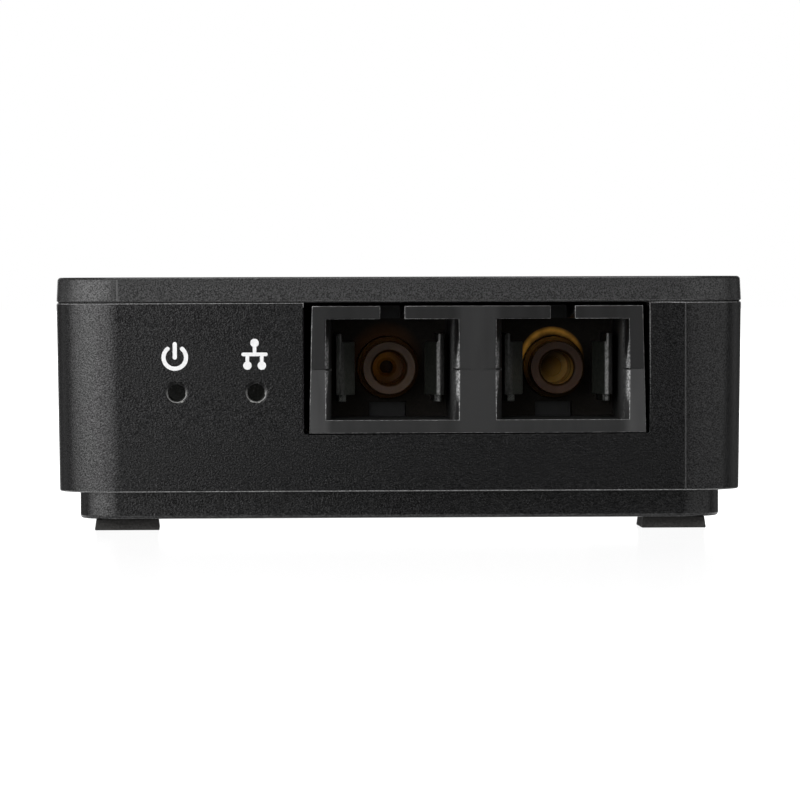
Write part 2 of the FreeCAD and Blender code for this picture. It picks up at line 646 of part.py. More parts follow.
def latch_arm(x, side):
    """A spring arm, the ramped hook on its inner face, set down from its top, and the lug under its tip."""
    outer = PORT_WIDTH / 2 - LATCH_WALL_GAP
    inner = outer - LATCH_THICKNESS
    tip_outer = outer - LATCH_TIP_CHAMFER
    tip_inner = inner + LATCH_TIP_BEVEL
    catch = inner - LATCH_HOOK_REACH
    root = CLIP_DEPTH + CLIP_THICKNESS / 2
    catch_depth = LATCH_TIP_DEPTH + LATCH_RAMP_LENGTH
    foot_depth = LATCH_TIP_DEPTH + LATCH_RAMP_LENGTH * LATCH_TIP_BEVEL / (LATCH_TIP_BEVEL + LATCH_HOOK_REACH)
    low_z = AXIS_Z - LATCH_BELOW_AXIS
    height = LATCH_ABOVE_AXIS + LATCH_BELOW_AXIS

    def raised(outline, top):
        corners = [point(x + side * across, block_y(depth), low_z) for across, depth in outline]
        return prism(corners, Z_AXIS * top)

    arm = raised([(outer, root), (outer, LATCH_TIP_DEPTH + LATCH_TIP_CHAMFER), (tip_outer, LATCH_TIP_DEPTH),
                  (tip_inner, LATCH_TIP_DEPTH), (inner, foot_depth), (inner, root)], height)
    hook = raised([(inner, foot_depth), (catch, catch_depth), (catch, catch_depth + LATCH_HOOK_FLAT),
                   (inner, catch_depth + LATCH_HOOK_FLAT)], height - LATCH_HOOK_DROP)
    lug_x = sorted((x + side * (tip_outer - LUG_WIDTH), x + side * tip_outer))
    lug = box(lug_x, (block_y(LATCH_TIP_DEPTH + LUG_SETBACK), block_y(root)), (low_z - LUG_HEIGHT, low_z))
    return [arm, hook, lug]


def optic_board_front():
    return OPTIC_LEAD_DEPTH + OPTIC_BOARD_CLEARANCE


def make_optic_board():
    board = box(about(BLOCK_X, 2 * (CHAMBER_HALF_WIDTH - OPTIC_BOARD_CLEARANCE)),
                (block_y(optic_board_front()), block_y(CHAMBER_END_DEPTH - OPTIC_BOARD_CLEARANCE)),
                (OPTIC_BOARD_BOTTOM_Z, OPTIC_BOARD_TOP_Z))
    through = (OPTIC_BOARD_BOTTOM_Z - MARGIN, OPTIC_BOARD_TOP_Z + MARGIN)
    return board.cut([square_post(x, PIN_Y, PIN_SIZE + 2 * PIN_CLEARANCE, through) for x in PIN_XS])


def make_optic_chips():
    low = OPTIC_LEAD_DEPTH + OPTIC_LEAD_LENGTH
    high = BLOCK_LENGTH - PIN_INSET - PIN_SIZE
    y = block_y((low + high) / 2)
    return Part.makeCompound([moved(moulded_body(OPTIC_CHIP_WIDTH, OPTIC_CHIP_LENGTH, OPTIC_BOARD_TOP_Z,
                                                 OPTIC_CHIP_HEIGHT), x, y)
                              for x in (TRANSMIT_X, RECEIVE_X)])


def make_optic_pins():
    pin_z = (TAIL_BOTTOM_Z, OPTIC_BOARD_TOP_Z + PIN_STAND)
    return Part.makeCompound([square_post(x, PIN_Y, PIN_SIZE, pin_z) for x in PIN_XS])


def light_flange_y():
    return FRONT_Y + WALL + body_inset(LIGHT_Z) + LIGHT_WALL_GAP + LIGHT_BODY_LENGTH


def light_lead_y():
    return light_flange_y() + LIGHT_FLANGE_LENGTH + LIGHT_LEAD_RUN - LIGHT_LEAD_SIZE / 2


def light_lead_xs():
    return [x + side * LIGHT_LEAD_PITCH / 2 for x in (POWER_LIGHT_X, LINK_LIGHT_X) for side in (-1, 1)]


def make_light(x):
    """A flat-topped light-emitting diode lying behind its hole, tip to the front."""
    flange_y = light_flange_y()
    tip_y = flange_y - LIGHT_BODY_LENGTH
    back_y = flange_y + LIGHT_FLANGE_LENGTH
    return turned([(0, tip_y), (LIGHT_RADIUS, tip_y), (LIGHT_RADIUS, flange_y),
                   (LIGHT_FLANGE_RADIUS, flange_y), (LIGHT_FLANGE_RADIUS, back_y), (0, back_y)], x, LIGHT_Z)


def make_light_leads():
    leads = []
    start_y = light_flange_y() + LIGHT_FLANGE_LENGTH
    end_y = start_y + LIGHT_LEAD_RUN
    half = LIGHT_LEAD_SIZE / 2
    outline = [(start_y, LIGHT_Z - half), (end_y - LIGHT_LEAD_SIZE, LIGHT_Z - half),
               (end_y - LIGHT_LEAD_SIZE, TAIL_BOTTOM_Z), (end_y, TAIL_BOTTOM_Z),
               (end_y, LIGHT_Z + half), (start_y, LIGHT_Z + half)]
    for x in light_lead_xs():
        leads.append(prism([point(x - half, y, z) for y, z in outline], X_AXIS * LIGHT_LEAD_SIZE))
    return Part.makeCompound(leads)


def socket_section(y):
    half = SOCKET_WIDTH / 2
    chin = SOCKET_CHIN_WIDTH / 2
    slope = half - chin
    outline = [(-half, SOCKET_HEIGHT), (half, SOCKET_HEIGHT), (half, SOCKET_SHOULDER),
               (chin, SOCKET_SHOULDER - slope), (chin, 0), (-chin, 0),
               (-chin, SOCKET_SHOULDER - slope), (-half, SOCKET_SHOULDER)]
    points = [point(SOCKET_X + x, y, BOARD_TOP_Z + z) for x, z in outline]
    return Part.Face(Part.makePolygon(points + points[:1]))


def socket_bore(offset, y_low, y_high):
    """The space inside the socket's folded sheet, drawn out along Y."""
    return socket_section(y_low).makeOffset2D(-offset, 2).extrude(Y_AXIS * (y_high - y_low))


def socket_tabs(clearance):
    tabs = []
    half = SOCKET_WIDTH / 2
    for side in (-1, 1):
        for y in (SOCKET_INNER_Y + SOCKET_TAB_INSET, SOCKET_MOUTH_Y - 2 * SOCKET_TAB_INSET):
            x = SOCKET_X + side * (half - SOCKET_SHEET / 2)
            tabs.append(box(about(x, SOCKET_SHEET + 2 * clearance),
                            about(y, SOCKET_TAB_WIDTH + 2 * clearance),
                            (TAIL_BOTTOM_Z, BOARD_TOP_Z + SOCKET_SHOULDER + SOCKET_BEND)))
    return tabs


def make_socket_shell():
    outer = socket_section(SOCKET_INNER_Y).extrude(Y_AXIS * SOCKET_LENGTH)
    level_edges = edges_at(outer, BOARD_TOP_Z) + edges_at(outer, BOARD_TOP_Z + SOCKET_HEIGHT)
    bends = [edge for edge in level_edges if edge.BoundBox.YLength > SOCKET_LENGTH / 2]
    outer = outer.makeFillet(SOCKET_BEND, bends)
    bore = socket_bore(SOCKET_SHEET, SOCKET_INNER_Y - MARGIN, SOCKET_MOUTH_Y + MARGIN)
    return outer.fuse(socket_tabs(0.0)).removeSplitter().cut(bore)


def blade_top_z():
    return BOARD_TOP_Z + TONGUE_BLADE_HEIGHT + TONGUE_BLADE_THICKNESS


def contact_solids():
    """Contacts that lie on the tongue, pass through the base and turn down to the board."""
    back_y = SOCKET_INNER_Y - CONTACT_THICKNESS
    top_z = blade_top_z()
    tip_y = SOCKET_MOUTH_Y - TONGUE_BLADE_SETBACK - CONTACT_SETBACK
    thick = CONTACT_THICKNESS
    foot_y = back_y - CONTACT_FOOT_LENGTH
    outline = [(tip_y, top_z), (tip_y, top_z + thick), (back_y, top_z + thick), (back_y, BOARD_TOP_Z + thick),
               (foot_y, BOARD_TOP_Z + thick), (foot_y, BOARD_TOP_Z),
               (back_y + thick, BOARD_TOP_Z), (back_y + thick, top_z)]
    solids = []
    for i in range(CONTACT_COUNT):
        x = SOCKET_X + CONTACT_PITCH * (i - (CONTACT_COUNT - 1) / 2) - CONTACT_WIDTH / 2
        solids.append(prism([point(x, y, z) for y, z in outline], X_AXIS * CONTACT_WIDTH))
    return solids


def make_socket_tongue():
    base = socket_bore(SOCKET_SHEET + SOCKET_FIT, SOCKET_INNER_Y, SOCKET_INNER_Y + SOCKET_BASE_LENGTH)
    blade = box(about(SOCKET_X, TONGUE_BLADE_WIDTH),
                (SOCKET_INNER_Y + SOCKET_BASE_LENGTH / 2, SOCKET_MOUTH_Y - TONGUE_BLADE_SETBACK),
                (BOARD_TOP_Z + TONGUE_BLADE_HEIGHT, blade_top_z()))
    return base.fuse(blade).removeSplitter().cut(contact_solids())


def moulded_body(length, width, z, height):
    """A chip's moulded body, widest at half height where its mould parts, centred on the origin."""
    middle = z + height / 2
    lower = tapered_box(length, width, z, middle, MOULD_STEP, 0.0)
    upper = tapered_box(length, width, middle, z + height, 0.0, MOULD_STEP)
    return lower.fuse(upper).removeSplitter()


def lead_row(count, pitch, width, body_half, body_height):
    """Gull wing leads along +X from a body's side, centred on Y = 0, feet on the board."""
    join_z = BOARD_TOP_Z + CHIP_LIFT + (body_height - LEAD_THICKNESS) / 2
    thick = LEAD_THICKNESS
    knee = LEAD_REACH - LEAD_FOOT
    outline = [(0, join_z), (knee, BOARD_TOP_Z), (LEAD_REACH, BOARD_TOP_Z),
               (LEAD_REACH, BOARD_TOP_Z + thick), (knee + thick, BOARD_TOP_Z + thick), (0, join_z + thick)]
    leads = []
    for i in range(count):
        y = pitch * (i - (count - 1) / 2) - width / 2
        leads.append(prism([point(body_half + x, y, z) for x, z in outline], Y_AXIS * width))
    return leads


def turned_about(shapes, angle, x, y):
    copies = []
    for shape in shapes:
        copy = shape.copy()
        copy.rotate(point(0, 0, 0), Z_AXIS, angle)
        copy.translate(point(x, y, 0))
        copies.append(copy)
    return copies


def left_bay_x():
    return (BLOCK_LEFT_X + board_edge() - CASE_WIDTH / 2) / 2


def left_row_ys():
    """Middles along the left bay, from the front: each capacitor, the inductors, the regulator."""
    lengths = [CAPACITOR_WIDTH] * CAPACITOR_COUNT + [INDUCTOR_SIZE, REGULATOR_LENGTH]
    edge = from_front(ROW_FROM_FRONT)
    middles = []
    for length in lengths:
        middles.append(edge + length / 2)
        edge += length + ROW_GAP
    return middles


def from_front(distance):
    return FRONT_Y + board_edge() + distance


def from_back(distance):
    return BACK_Y - board_edge() - distance


def make_controller():
    x = (SOCKET_X + SOCKET_WIDTH / 2 + CORNER_X - POST_SIZE / 2) / 2
    y = (BLOCK_BACK_Y + BACK_Y - board_edge()) / 2
    return moved(moulded_body(CONTROLLER_SIZE, CONTROLLER_SIZE, BOARD_TOP_Z, CONTROLLER_HEIGHT), x, y)


def make_memory_chip():
    return moved(moulded_body(MEMORY_WIDTH, MEMORY_LENGTH, BOARD_TOP_Z + CHIP_LIFT, MEMORY_HEIGHT),
                 left_bay_x(), from_back(MEMORY_FROM_BACK))


def make_regulator():
    return moved(moulded_body(REGULATOR_WIDTH, REGULATOR_LENGTH, BOARD_TOP_Z + CHIP_LIFT, REGULATOR_HEIGHT),
                 left_bay_x(), left_row_ys()[-1])


def make_chip_leads():
    memory_place = (left_bay_x(), from_back(MEMORY_FROM_BACK))
    regulator_place = (left_bay_x(), left_row_ys()[-1])
    side = lead_row(MEMORY_LEAD_COUNT, MEMORY_LEAD_PITCH, MEMORY_LEAD_WIDTH,
                    MEMORY_WIDTH / 2, MEMORY_HEIGHT)
    pins = lead_row(REGULATOR_LEAD_COUNT, REGULATOR_LEAD_PITCH, REGULATOR_LEAD_WIDTH,
                    REGULATOR_WIDTH / 2, REGULATOR_HEIGHT)
    tab = lead_row(1, REGULATOR_LEAD_PITCH, REGULATOR_TAB_WIDTH, REGULATOR_WIDTH / 2, REGULATOR_HEIGHT)
    leads = turned_about(side, 0, *memory_place) + turned_about(side, 180, *memory_place)
    leads += turned_about(pins, 0, *regulator_place) + turned_about(tab, 180, *regulator_place)
    return Part.makeCompound(leads)


def make_crystal():
    """A ceramic base with its metal lid."""
    lid_z = BOARD_TOP_Z + CRYSTAL_BASE_HEIGHT
    base = tapered_box(CRYSTAL_LENGTH, CRYSTAL_WIDTH, BOARD_TOP_Z, lid_z)
    lid = tapered_box(CRYSTAL_LENGTH, CRYSTAL_WIDTH, lid_z, lid_z + CRYSTAL_LID_HEIGHT, CRYSTAL_LID_INSET,
                      CRYSTAL_LID_INSET)
    x = (SOCKET_X - SOCKET_WIDTH / 2 - CORNER_X) / 2
    return moved(base.fuse(lid), x, from_back(CRYSTAL_FROM_BACK))


def make_capacitors():
    block = moulded_body(CAPACITOR_LENGTH, CAPACITOR_WIDTH, BOARD_TOP_Z, CAPACITOR_HEIGHT)
    return Part.makeCompound([moved(block, left_bay_x(), y) for y in left_row_ys()[:CAPACITOR_COUNT]])


def make_inductors():
    block = moulded_body(INDUCTOR_SIZE, INDUCTOR_SIZE, BOARD_TOP_Z, INDUCTOR_HEIGHT)
    y = left_row_ys()[CAPACITOR_COUNT]
    return Part.makeCompound([moved(block, x, y) for x in about(left_bay_x(), INDUCTOR_SPACING)])


def make_passives():
    rows = (board_edge() - CASE_WIDTH / 2 + PASSIVE_INSET, BLOCK_LEFT_X - PASSIVE_INSET)
    ys = [from_front(PASSIVE_FROM_FRONT + PASSIVE_PITCH * i) for i in range(PASSIVE_COUNT)]
    block = tapered_box(PASSIVE_LENGTH, PASSIVE_WIDTH, BOARD_TOP_Z, BOARD_TOP_Z + PASSIVE_HEIGHT)
    return Part.makeCompound([moved(block, x, y) for x in rows for y in ys])


PARTS = {
    "top_cover": make_top_cover(),
    "lower_case": make_lower_case(),
    "foot_front_left": make_foot(-CORNER_X, -CORNER_Y),
    "foot_front_right": make_foot(CORNER_X, -CORNER_Y),
    "foot_rear_left": make_foot(-CORNER_X, CORNER_Y),
    "foot_rear_right": make_foot(CORNER_X, CORNER_Y),
    "main_board": make_main_board(),
    "port_shell_upper": make_port_shell_upper(),
    "port_shell_lower": make_port_shell_lower(),
    "latch_clip_left": make_latch_clip(TRANSMIT_X),
    "latch_clip_right": make_latch_clip(RECEIVE_X),
    "transmit_barrel": make_transmit_barrel(),
    "receive_barrel": make_receive_barrel(),
    "transmit_can": make_optic_can(TRANSMIT_X),
    "receive_can": make_optic_can(RECEIVE_X),
    "optic_leads": make_optic_leads(),
    "optic_board": make_optic_board(),
    "optic_chips": make_optic_chips(),
    "optic_pins": make_optic_pins(),
    "power_light": make_light(POWER_LIGHT_X),
    "link_light": make_light(LINK_LIGHT_X),
    "light_leads": make_light_leads(),
    "socket_shell": make_socket_shell(),
    "socket_tongue": make_socket_tongue(),
    "socket_contacts": Part.makeCompound(contact_solids()),
    "controller_chip": make_controller(),
    "memory_chip": make_memory_chip(),
    "voltage_regulator": make_regulator(),
    "chip_leads": make_chip_leads(),
    "clock_crystal": make_crystal(),
    "filter_capacitors": make_capacitors(),
    "power_inductors": make_inductors(),
    "chip_passives": make_passives(),
}

os.makedirs("parts", exist_ok=True)
for name, shape in PARTS.items():
    shape.exportStep("parts/" + name + ".step")
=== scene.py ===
import json
import math
import bmesh
import bpy
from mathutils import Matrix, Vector

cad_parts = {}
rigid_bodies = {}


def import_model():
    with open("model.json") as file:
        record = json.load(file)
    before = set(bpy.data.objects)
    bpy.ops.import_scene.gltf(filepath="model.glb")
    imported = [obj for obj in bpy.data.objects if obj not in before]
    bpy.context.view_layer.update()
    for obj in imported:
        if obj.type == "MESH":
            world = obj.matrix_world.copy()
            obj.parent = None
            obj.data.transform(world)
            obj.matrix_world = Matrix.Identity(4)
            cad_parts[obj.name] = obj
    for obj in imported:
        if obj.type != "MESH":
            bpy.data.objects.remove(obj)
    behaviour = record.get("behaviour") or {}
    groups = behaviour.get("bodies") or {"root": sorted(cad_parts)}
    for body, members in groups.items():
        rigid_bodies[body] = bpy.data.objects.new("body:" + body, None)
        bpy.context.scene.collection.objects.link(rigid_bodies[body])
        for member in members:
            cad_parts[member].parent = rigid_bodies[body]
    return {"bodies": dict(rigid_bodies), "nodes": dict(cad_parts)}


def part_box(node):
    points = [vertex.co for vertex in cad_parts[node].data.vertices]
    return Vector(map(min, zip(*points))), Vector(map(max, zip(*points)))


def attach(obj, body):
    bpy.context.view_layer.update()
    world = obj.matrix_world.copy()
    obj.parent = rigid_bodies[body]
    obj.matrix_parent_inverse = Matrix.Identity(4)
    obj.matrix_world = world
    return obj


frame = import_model()
nodes = frame["nodes"]
loaded = list(nodes.values()) + list(frame["bodies"].values())
for leftover in [thing for thing in bpy.data.objects if thing not in loaded]:
    bpy.data.objects.remove(leftover)
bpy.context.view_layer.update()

# Sizes are written in millimetres and turned into metres by MM. Angles are in degrees
MM = 0.001

# Camera: in front, a little left of the case's middle and a little above it. Its sensor stays in millimetres
CAMERA_DISTANCE = 380.0 * MM
CAMERA_X = -15.0 * MM
CAMERA_HEIGHT = 18.5 * MM
AIM_X = -0.163 * MM
AIM_HEIGHT = 9.73 * MM
CAMERA_ROLL = -0.17
FRAME_WIDTH = 59.42 * MM
SENSOR_WIDTH = 36.0

# Printed signs on the front wall
PRINT_THICKNESS = 0.03 * MM
PRINT_SINK = 0.02 * MM
ARC_STEPS = 40
POWER_X = -16.88 * MM
POWER_Z = 12.95 * MM
POWER_RADIUS = 0.835 * MM
POWER_STROKE = 0.31 * MM
POWER_GAP = 40.0
POWER_BAR_LOW = 12.79 * MM
POWER_BAR_HIGH = 14.1 * MM
NETWORK_X = -10.96 * MM
NETWORK_STROKE = 0.27 * MM
NETWORK_BALL = 0.315 * MM
NETWORK_TOP_Z = 14.01 * MM
NETWORK_BAR_Z = 13.16 * MM
NETWORK_BAR_HALF = 0.97 * MM
NETWORK_LEG = 0.535 * MM
NETWORK_BOTTOM_Z = 12.33 * MM

# Rounded edges: the bend from which an edge is rounded, its steps, and what is merged and flattened first
SHARP_ANGLE = 35.0
ROUND_STEPS = 3
WELD_REACH = 0.001 * MM
FLAT_ANGLE = 0.5

# The case's rounded corners, and how deep under its outline its outer edges lie
CASE_CORNER = 4.6 * MM
CASE_SKIN = 0.45 * MM

# Edges in the port block's front face: how deep they lie, and how far they stay from its seam
FACE_DEPTH = 0.05 * MM
SEAM_CLEARANCE = 0.06 * MM

# The case's grain: its size and depth, its glittering specks, and the noise that they are made from
GRAIN_SIZE = 0.12 * MM
GRAIN_DEPTH = 0.018 * MM
SPECK_SIZE = 0.8 * GRAIN_SIZE
SPECK_NOISE = (0.35, 0.65)
CASE_ROUGHNESS = 0.2
ROUGHNESS_DRIFT = 0.012
DRIFT_SIZE = 6.0 * MM

# The mould line, whose pale tone is a painted highlight: half its width, its soft edge, its start over the
# plinth, and how far its wall may lean
LINE_HALF = 0.05 * MM
LINE_EDGE = 0.03 * MM
LINE_START = 0.05 * MM
LINE_TILT = (0.3, 0.4)

# Heights of the case's outer edges that get a painted highlight, how far the painted highlight reaches, and
# which tilts it takes
LID_EDGE_Z = 17.0 * MM
BODY_TOP_Z = 16.9 * MM
BODY_BOTTOM_Z = 2.9 * MM
EDGE_SHINE_REACH = 0.25 * MM
EDGE_SHINE_EDGE = 0.05 * MM
EDGE_SHINE_TILT = (0.3, 0.75)
TILT_EDGE = 0.05

# The light holes' rims, as radii round the lights' axes, and which way the parts that carry a painted
# highlight face
RIM_INNER = 0.5 * MM
RIM_OUTER = 0.85 * MM
RIM_EDGE = 0.02 * MM
RIM_UPWARD = (-0.25, 0.35)
RIM_FRONTWARD = (-0.93, -0.1)
RIM_FRONTWARD_EDGE = 0.03

# The port block's face, painted lighter as painted light on its middle bar, from its middle, and on its side
# bars, from its sides
MIDDLE_BAR = (1.2 * MM, 1.8 * MM)
SIDE_BAR = (1.7 * MM, 1.1 * MM)

# Flares of the port mouths. The right-hand ones, which face the light, are painted paler as painted light,
# and so are the walls behind them, to a depth
LEAD_GRAIN = 0.16 * MM
LEAD_NOISE = (0.4, 0.7)
LEAD_FRONTWARD = (-0.85, -0.3)
LEAD_EDGE = 0.05
RIGHT_FLARE = 1.6
FLARE_LEFTWARD = (-0.5, -0.3)
WALL_LEFTWARD = (-0.95, -0.9)
WALL_START = (0.5 * MM, 1.0 * MM)
WALL_FADE = 6.0 * MM

# The latch clips: the plate behind the barrel's tip, the arms' tips, and the painted highlight line on a
# right-hand arm
PLATE_START = (3.0 * MM, 4.0 * MM)
TIP_END = (0.3 * MM, 0.4 * MM)
ARM_SPLIT = 0.5 * MM
ARM_LINE = (3.52 * MM, 3.74 * MM)
ARM_LINE_EDGE = 0.04 * MM

# The painted amber glow: painted light above and left of the barrels, and towards one side in the bores
GLOW_OFFSET = Vector((-0.12, 0.0, 0.6)) * MM
GLOW_WAY = (-0.55, 0.83)
PLATE_GLOW = (-1.0 * MM, 1.7 * MM)
SHOULDER_GLOW = (0.2 * MM, 1.8 * MM)
BORE_GLOW = (-0.9 * MM, 0.7 * MM)
GLOW_LEAST = 0.55

# The barrels: how deep the tip's ring and the shoulder lie, and where the ring starts round the bore
RING_DEPTH = (0.2 * MM, 0.25 * MM)
RING_INNER = (1.28 * MM, 1.34 * MM)
RING_FRONTWARD = (-0.97, -0.9)
SHOULDER_DEPTH = (2.9 * MM, 3.3 * MM)
SHOULDER_EDGE = 0.05 * MM
WINDOW_EDGE = (1.25 * MM, 1.3 * MM)

# Textures: where nearly all of a noise lies, and how lines and streaks are drawn out along an axis
NOISE_RANGE = (0.3, 0.7)
ALONG_Y = (1.0, 0.08, 1.0)
ALONG_Z = (1.0, 1.0, 0.1)
STREAKED_Z = (1.0, 1.0, 0.15)
WOVEN_Y = (1.0, 4.0, 1.0)

# Floor and world: where the floor's glow rises and its mirrored part fades, and where the world turns white
FLOOR_ROUGHNESS = 0.15
GLOW_DISTANCE = (60.0 * MM, 250.0 * MM)
FADE_DISTANCE = (1.0 * MM, 4.0 * MM)
BEHIND = (0.93, 0.995)

# The pads under the plinth
FEET = ("foot_front_left", "foot_front_right", "foot_rear_left", "foot_rear_right")

# Places on the frame that the finishes refer to
case_low, case_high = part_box("lower_case")
lid_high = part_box("top_cover")[1]
block_low, block_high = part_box("port_shell_lower")
barrel_low, barrel_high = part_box("transmit_barrel")
transmit_axis = (barrel_low + barrel_high) / 2
receive_axis = sum(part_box("receive_barrel"), Vector()) / 2
seam_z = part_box("port_shell_upper")[0].z
clip_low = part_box("latch_clip_left")[0]
light_axes = [sum(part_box(light), Vector()) / 2 for light in ("power_light", "link_light")]


# Nodes, for edges and finishes alike


def add_node(tree, kind, inputs=None, **settings):
    """Adds a node to a tree, sets its settings, and sets or links its inputs."""
    made = tree.nodes.new(kind)
    for key, value in settings.items():
        setattr(made, key, value)
    for key, value in (inputs or {}).items():
        if isinstance(value, bpy.types.NodeSocket):
            tree.links.new(value, made.inputs[key])
        else:
            made.inputs[key].default_value = value
    return made


def calculate(tree, operation, first, second=0.0):
    return add_node(tree, "ShaderNodeMath", {0: first, 1: second}, operation=operation).outputs[0]


def vector_math(tree, operation, first, second=(0.0, 0.0, 0.0), output="Vector"):
    return add_node(tree, "ShaderNodeVectorMath", {0: first, 1: second}, operation=operation).outputs[output]


def map_range(tree, value, start, end, low, high):
    """A value taken from start to end, drawn out to low to high."""
    return add_node(tree, "ShaderNodeMapRange", {0: value, 1: start, 2: end, 3: low, 4: high}).outputs[0]


# Rounded edges, made by modifiers so that the solids stay as they are


def both(tree, first, second):
    return add_node(tree, "FunctionNodeBooleanMath", {0: first, 1: second}, operation="AND").outputs[0]


def either(tree, first, second):
    return add_node(tree, "FunctionNodeBooleanMath", {0: first, 1: second}, operation="OR").outputs[0]


def above(tree, value, limit):
    return add_node(tree, "FunctionNodeCompare", {0: value, 1: limit}, operation="GREATER_THAN").outputs[0]


def below(tree, value, limit):
    return add_node(tree, "FunctionNodeCompare", {0: value, 1: limit}, operation="LESS_THAN").outputs[0]


def off_middle(tree, value, middle):
    """How far a value lies from the middle, on either side."""
    return calculate(tree, "ABSOLUTE", calculate(tree, "SUBTRACT", value, middle))


def beyond(tree, value, middle, reach):
    """How far a value lies beyond reach from the middle, and never less than nothing."""
    past = calculate(tree, "SUBTRACT", off_middle(tree, value, middle), reach)
    return calculate(tree, "MAXIMUM", past, 0.0)


def on_case_outside(tree, x, y, z):
    """The outer edges of the case: near its round-cornered outline, or under the plinth."""
    middle = (case_low + case_high) / 2
    half = (case_high - case_low) / 2
    x_past = beyond(tree, x, middle.x, half.x - CASE_CORNER)
    y_past = beyond(tree, y, middle.y, half.y - CASE_CORNER)
    corner = add_node(tree, "ShaderNodeCombineXYZ", {0: x_past, 1: y_past}).outputs[0]
    reach = vector_math(tree, "LENGTH", corner, output="Value")
    near_outline = above(tree, reach, CASE_CORNER - CASE_SKIN)
    return either(tree, near_outline, below(tree, z, case_low.z + CASE_SKIN))


def on_case_edges(tree, x, y, z):
    """The case's outer edges, and the light holes' edges in its front wall."""
    chosen = on_case_outside(tree, x, y, z)
    in_front = below(tree, y, case_low.y + CASE_SKIN)
    place = add_node(tree, "ShaderNodeCombineXYZ", {0: x, 1: z}).outputs[0]
    for axis in light_axes:
        reach = vector_math(tree, "DISTANCE", place, (axis.x, axis.z, 0.0), output="Value")
        chosen = either(tree, chosen, both(tree, in_front, below(tree, reach, RIM_OUTER)))
    return chosen


def on_block_front(tree, x, y, z):
    """The edges in the port block's front face, apart from the seam between its halves."""
    in_face = below(tree, y, block_low.y + FACE_DEPTH)
    return both(tree, in_face, above(tree, off_middle(tree, z, seam_z), SEAM_CLEARANCE))


def shade_smooth(tree, geometry, domain, smooth, selection=True):
    inputs = {"Geometry": geometry, "Selection": selection, "Shade Smooth": smooth}
    return add_node(tree, "GeometryNodeSetShadeSmooth", inputs, domain=domain).outputs[0]


def edge_marks(name, shortest, where):
    """A node group that marks the edges to round and shades the rest smooth or sharp by angle."""
    tree = bpy.data.node_groups.new(name, "GeometryNodeTree")
    for way in ("INPUT", "OUTPUT"):
        tree.interface.new_socket("Geometry", in_out=way, socket_type="NodeSocketGeometry")
    source = add_node(tree, "NodeGroupInput").outputs[0]
    bend = add_node(tree, "GeometryNodeInputMeshEdgeAngle").outputs["Unsigned Angle"]
    ends = add_node(tree, "GeometryNodeInputMeshEdgeVertices").outputs
    length = vector_math(tree, "DISTANCE", ends["Position 1"], ends["Position 2"], output="Value")
    sharp = above(tree, bend, math.radians(SHARP_ANGLE))
    chosen = both(tree, sharp, above(tree, length, shortest))
    if where:
        place = add_node(tree, "GeometryNodeInputPosition").outputs[0]
        parts = add_node(tree, "ShaderNodeSeparateXYZ", {0: place}).outputs
        chosen = both(tree, chosen, where(tree, *parts))
    others = add_node(tree, "FunctionNodeBooleanMath", {0: chosen}, operation="NOT").outputs[0]
    shaded = shade_smooth(tree, source, "FACE", True)
    shaded = shade_smooth(tree, shaded, "EDGE", True)
    shaded = shade_smooth(tree, shaded, "EDGE", False, both(tree, sharp, others))
    inputs = {"Geometry": shaded, "Name": "bevel_weight_edge", "Value": chosen}
    marked = add_node(tree, "GeometryNodeStoreNamedAttribute", inputs, data_type="FLOAT", domain="EDGE")
    add_node(tree, "NodeGroupOutput", {0: marked.outputs[0]})
    return tree


def soften(name, width, shortest, where=None):
    """Rounds a CAD node's sharp edges, from the shortest on, by the width, and smooths its shading."""
    piece = nodes[name]
    weld = piece.modifiers.new("weld", "WELD")
    weld.merge_threshold = WELD_REACH
    flat = piece.modifiers.new("flat", "DECIMATE")
    flat.decimate_type = "DISSOLVE"
    flat.angle_limit = math.radians(FLAT_ANGLE)
    marks = piece.modifiers.new("marks", "NODES")
    marks.node_group = edge_marks(name + "_edges", shortest, where)
    bevel = piece.modifiers.new("round", "BEVEL")
    bevel.limit_method = "WEIGHT"
    bevel.width = width
    bevel.segments = ROUND_STEPS
    bevel.use_clamp_overlap = False
    normals = piece.modifiers.new("normals", "WEIGHTED_NORMAL")
    normals.keep_sharp = True


soften("top_cover", width=0.07 * MM, shortest=0.1 * MM, where=on_case_outside)
soften("lower_case", width=0.14 * MM, shortest=0.1 * MM, where=on_case_edges)
for shell in ("port_shell_upper", "port_shell_lower"):
    soften(shell, width=0.08 * MM, shortest=0.3 * MM, where=on_block_front)
for clip in ("latch_clip_left", "latch_clip_right"):
    soften(clip, width=0.06 * MM, shortest=0.2 * MM)
for barrel in ("transmit_barrel", "receive_barrel"):
    soften(barrel, width=0.06 * MM, shortest=0.15 * MM)
for foot in FEET:
    soften(foot, width=0.08 * MM, shortest=0.3 * MM)
for socket_piece in ("socket_shell", "socket_tongue"):
    soften(socket_piece, width=0.05 * MM, shortest=0.2 * MM)


# Finishes


def grey(tone, blue=None):
    """A neutral colour, or one whose blue differs a little."""
    return (tone, tone, tone if blue is None else blue)


def times(colour, factor):
    return [factor * tone for tone in colour]


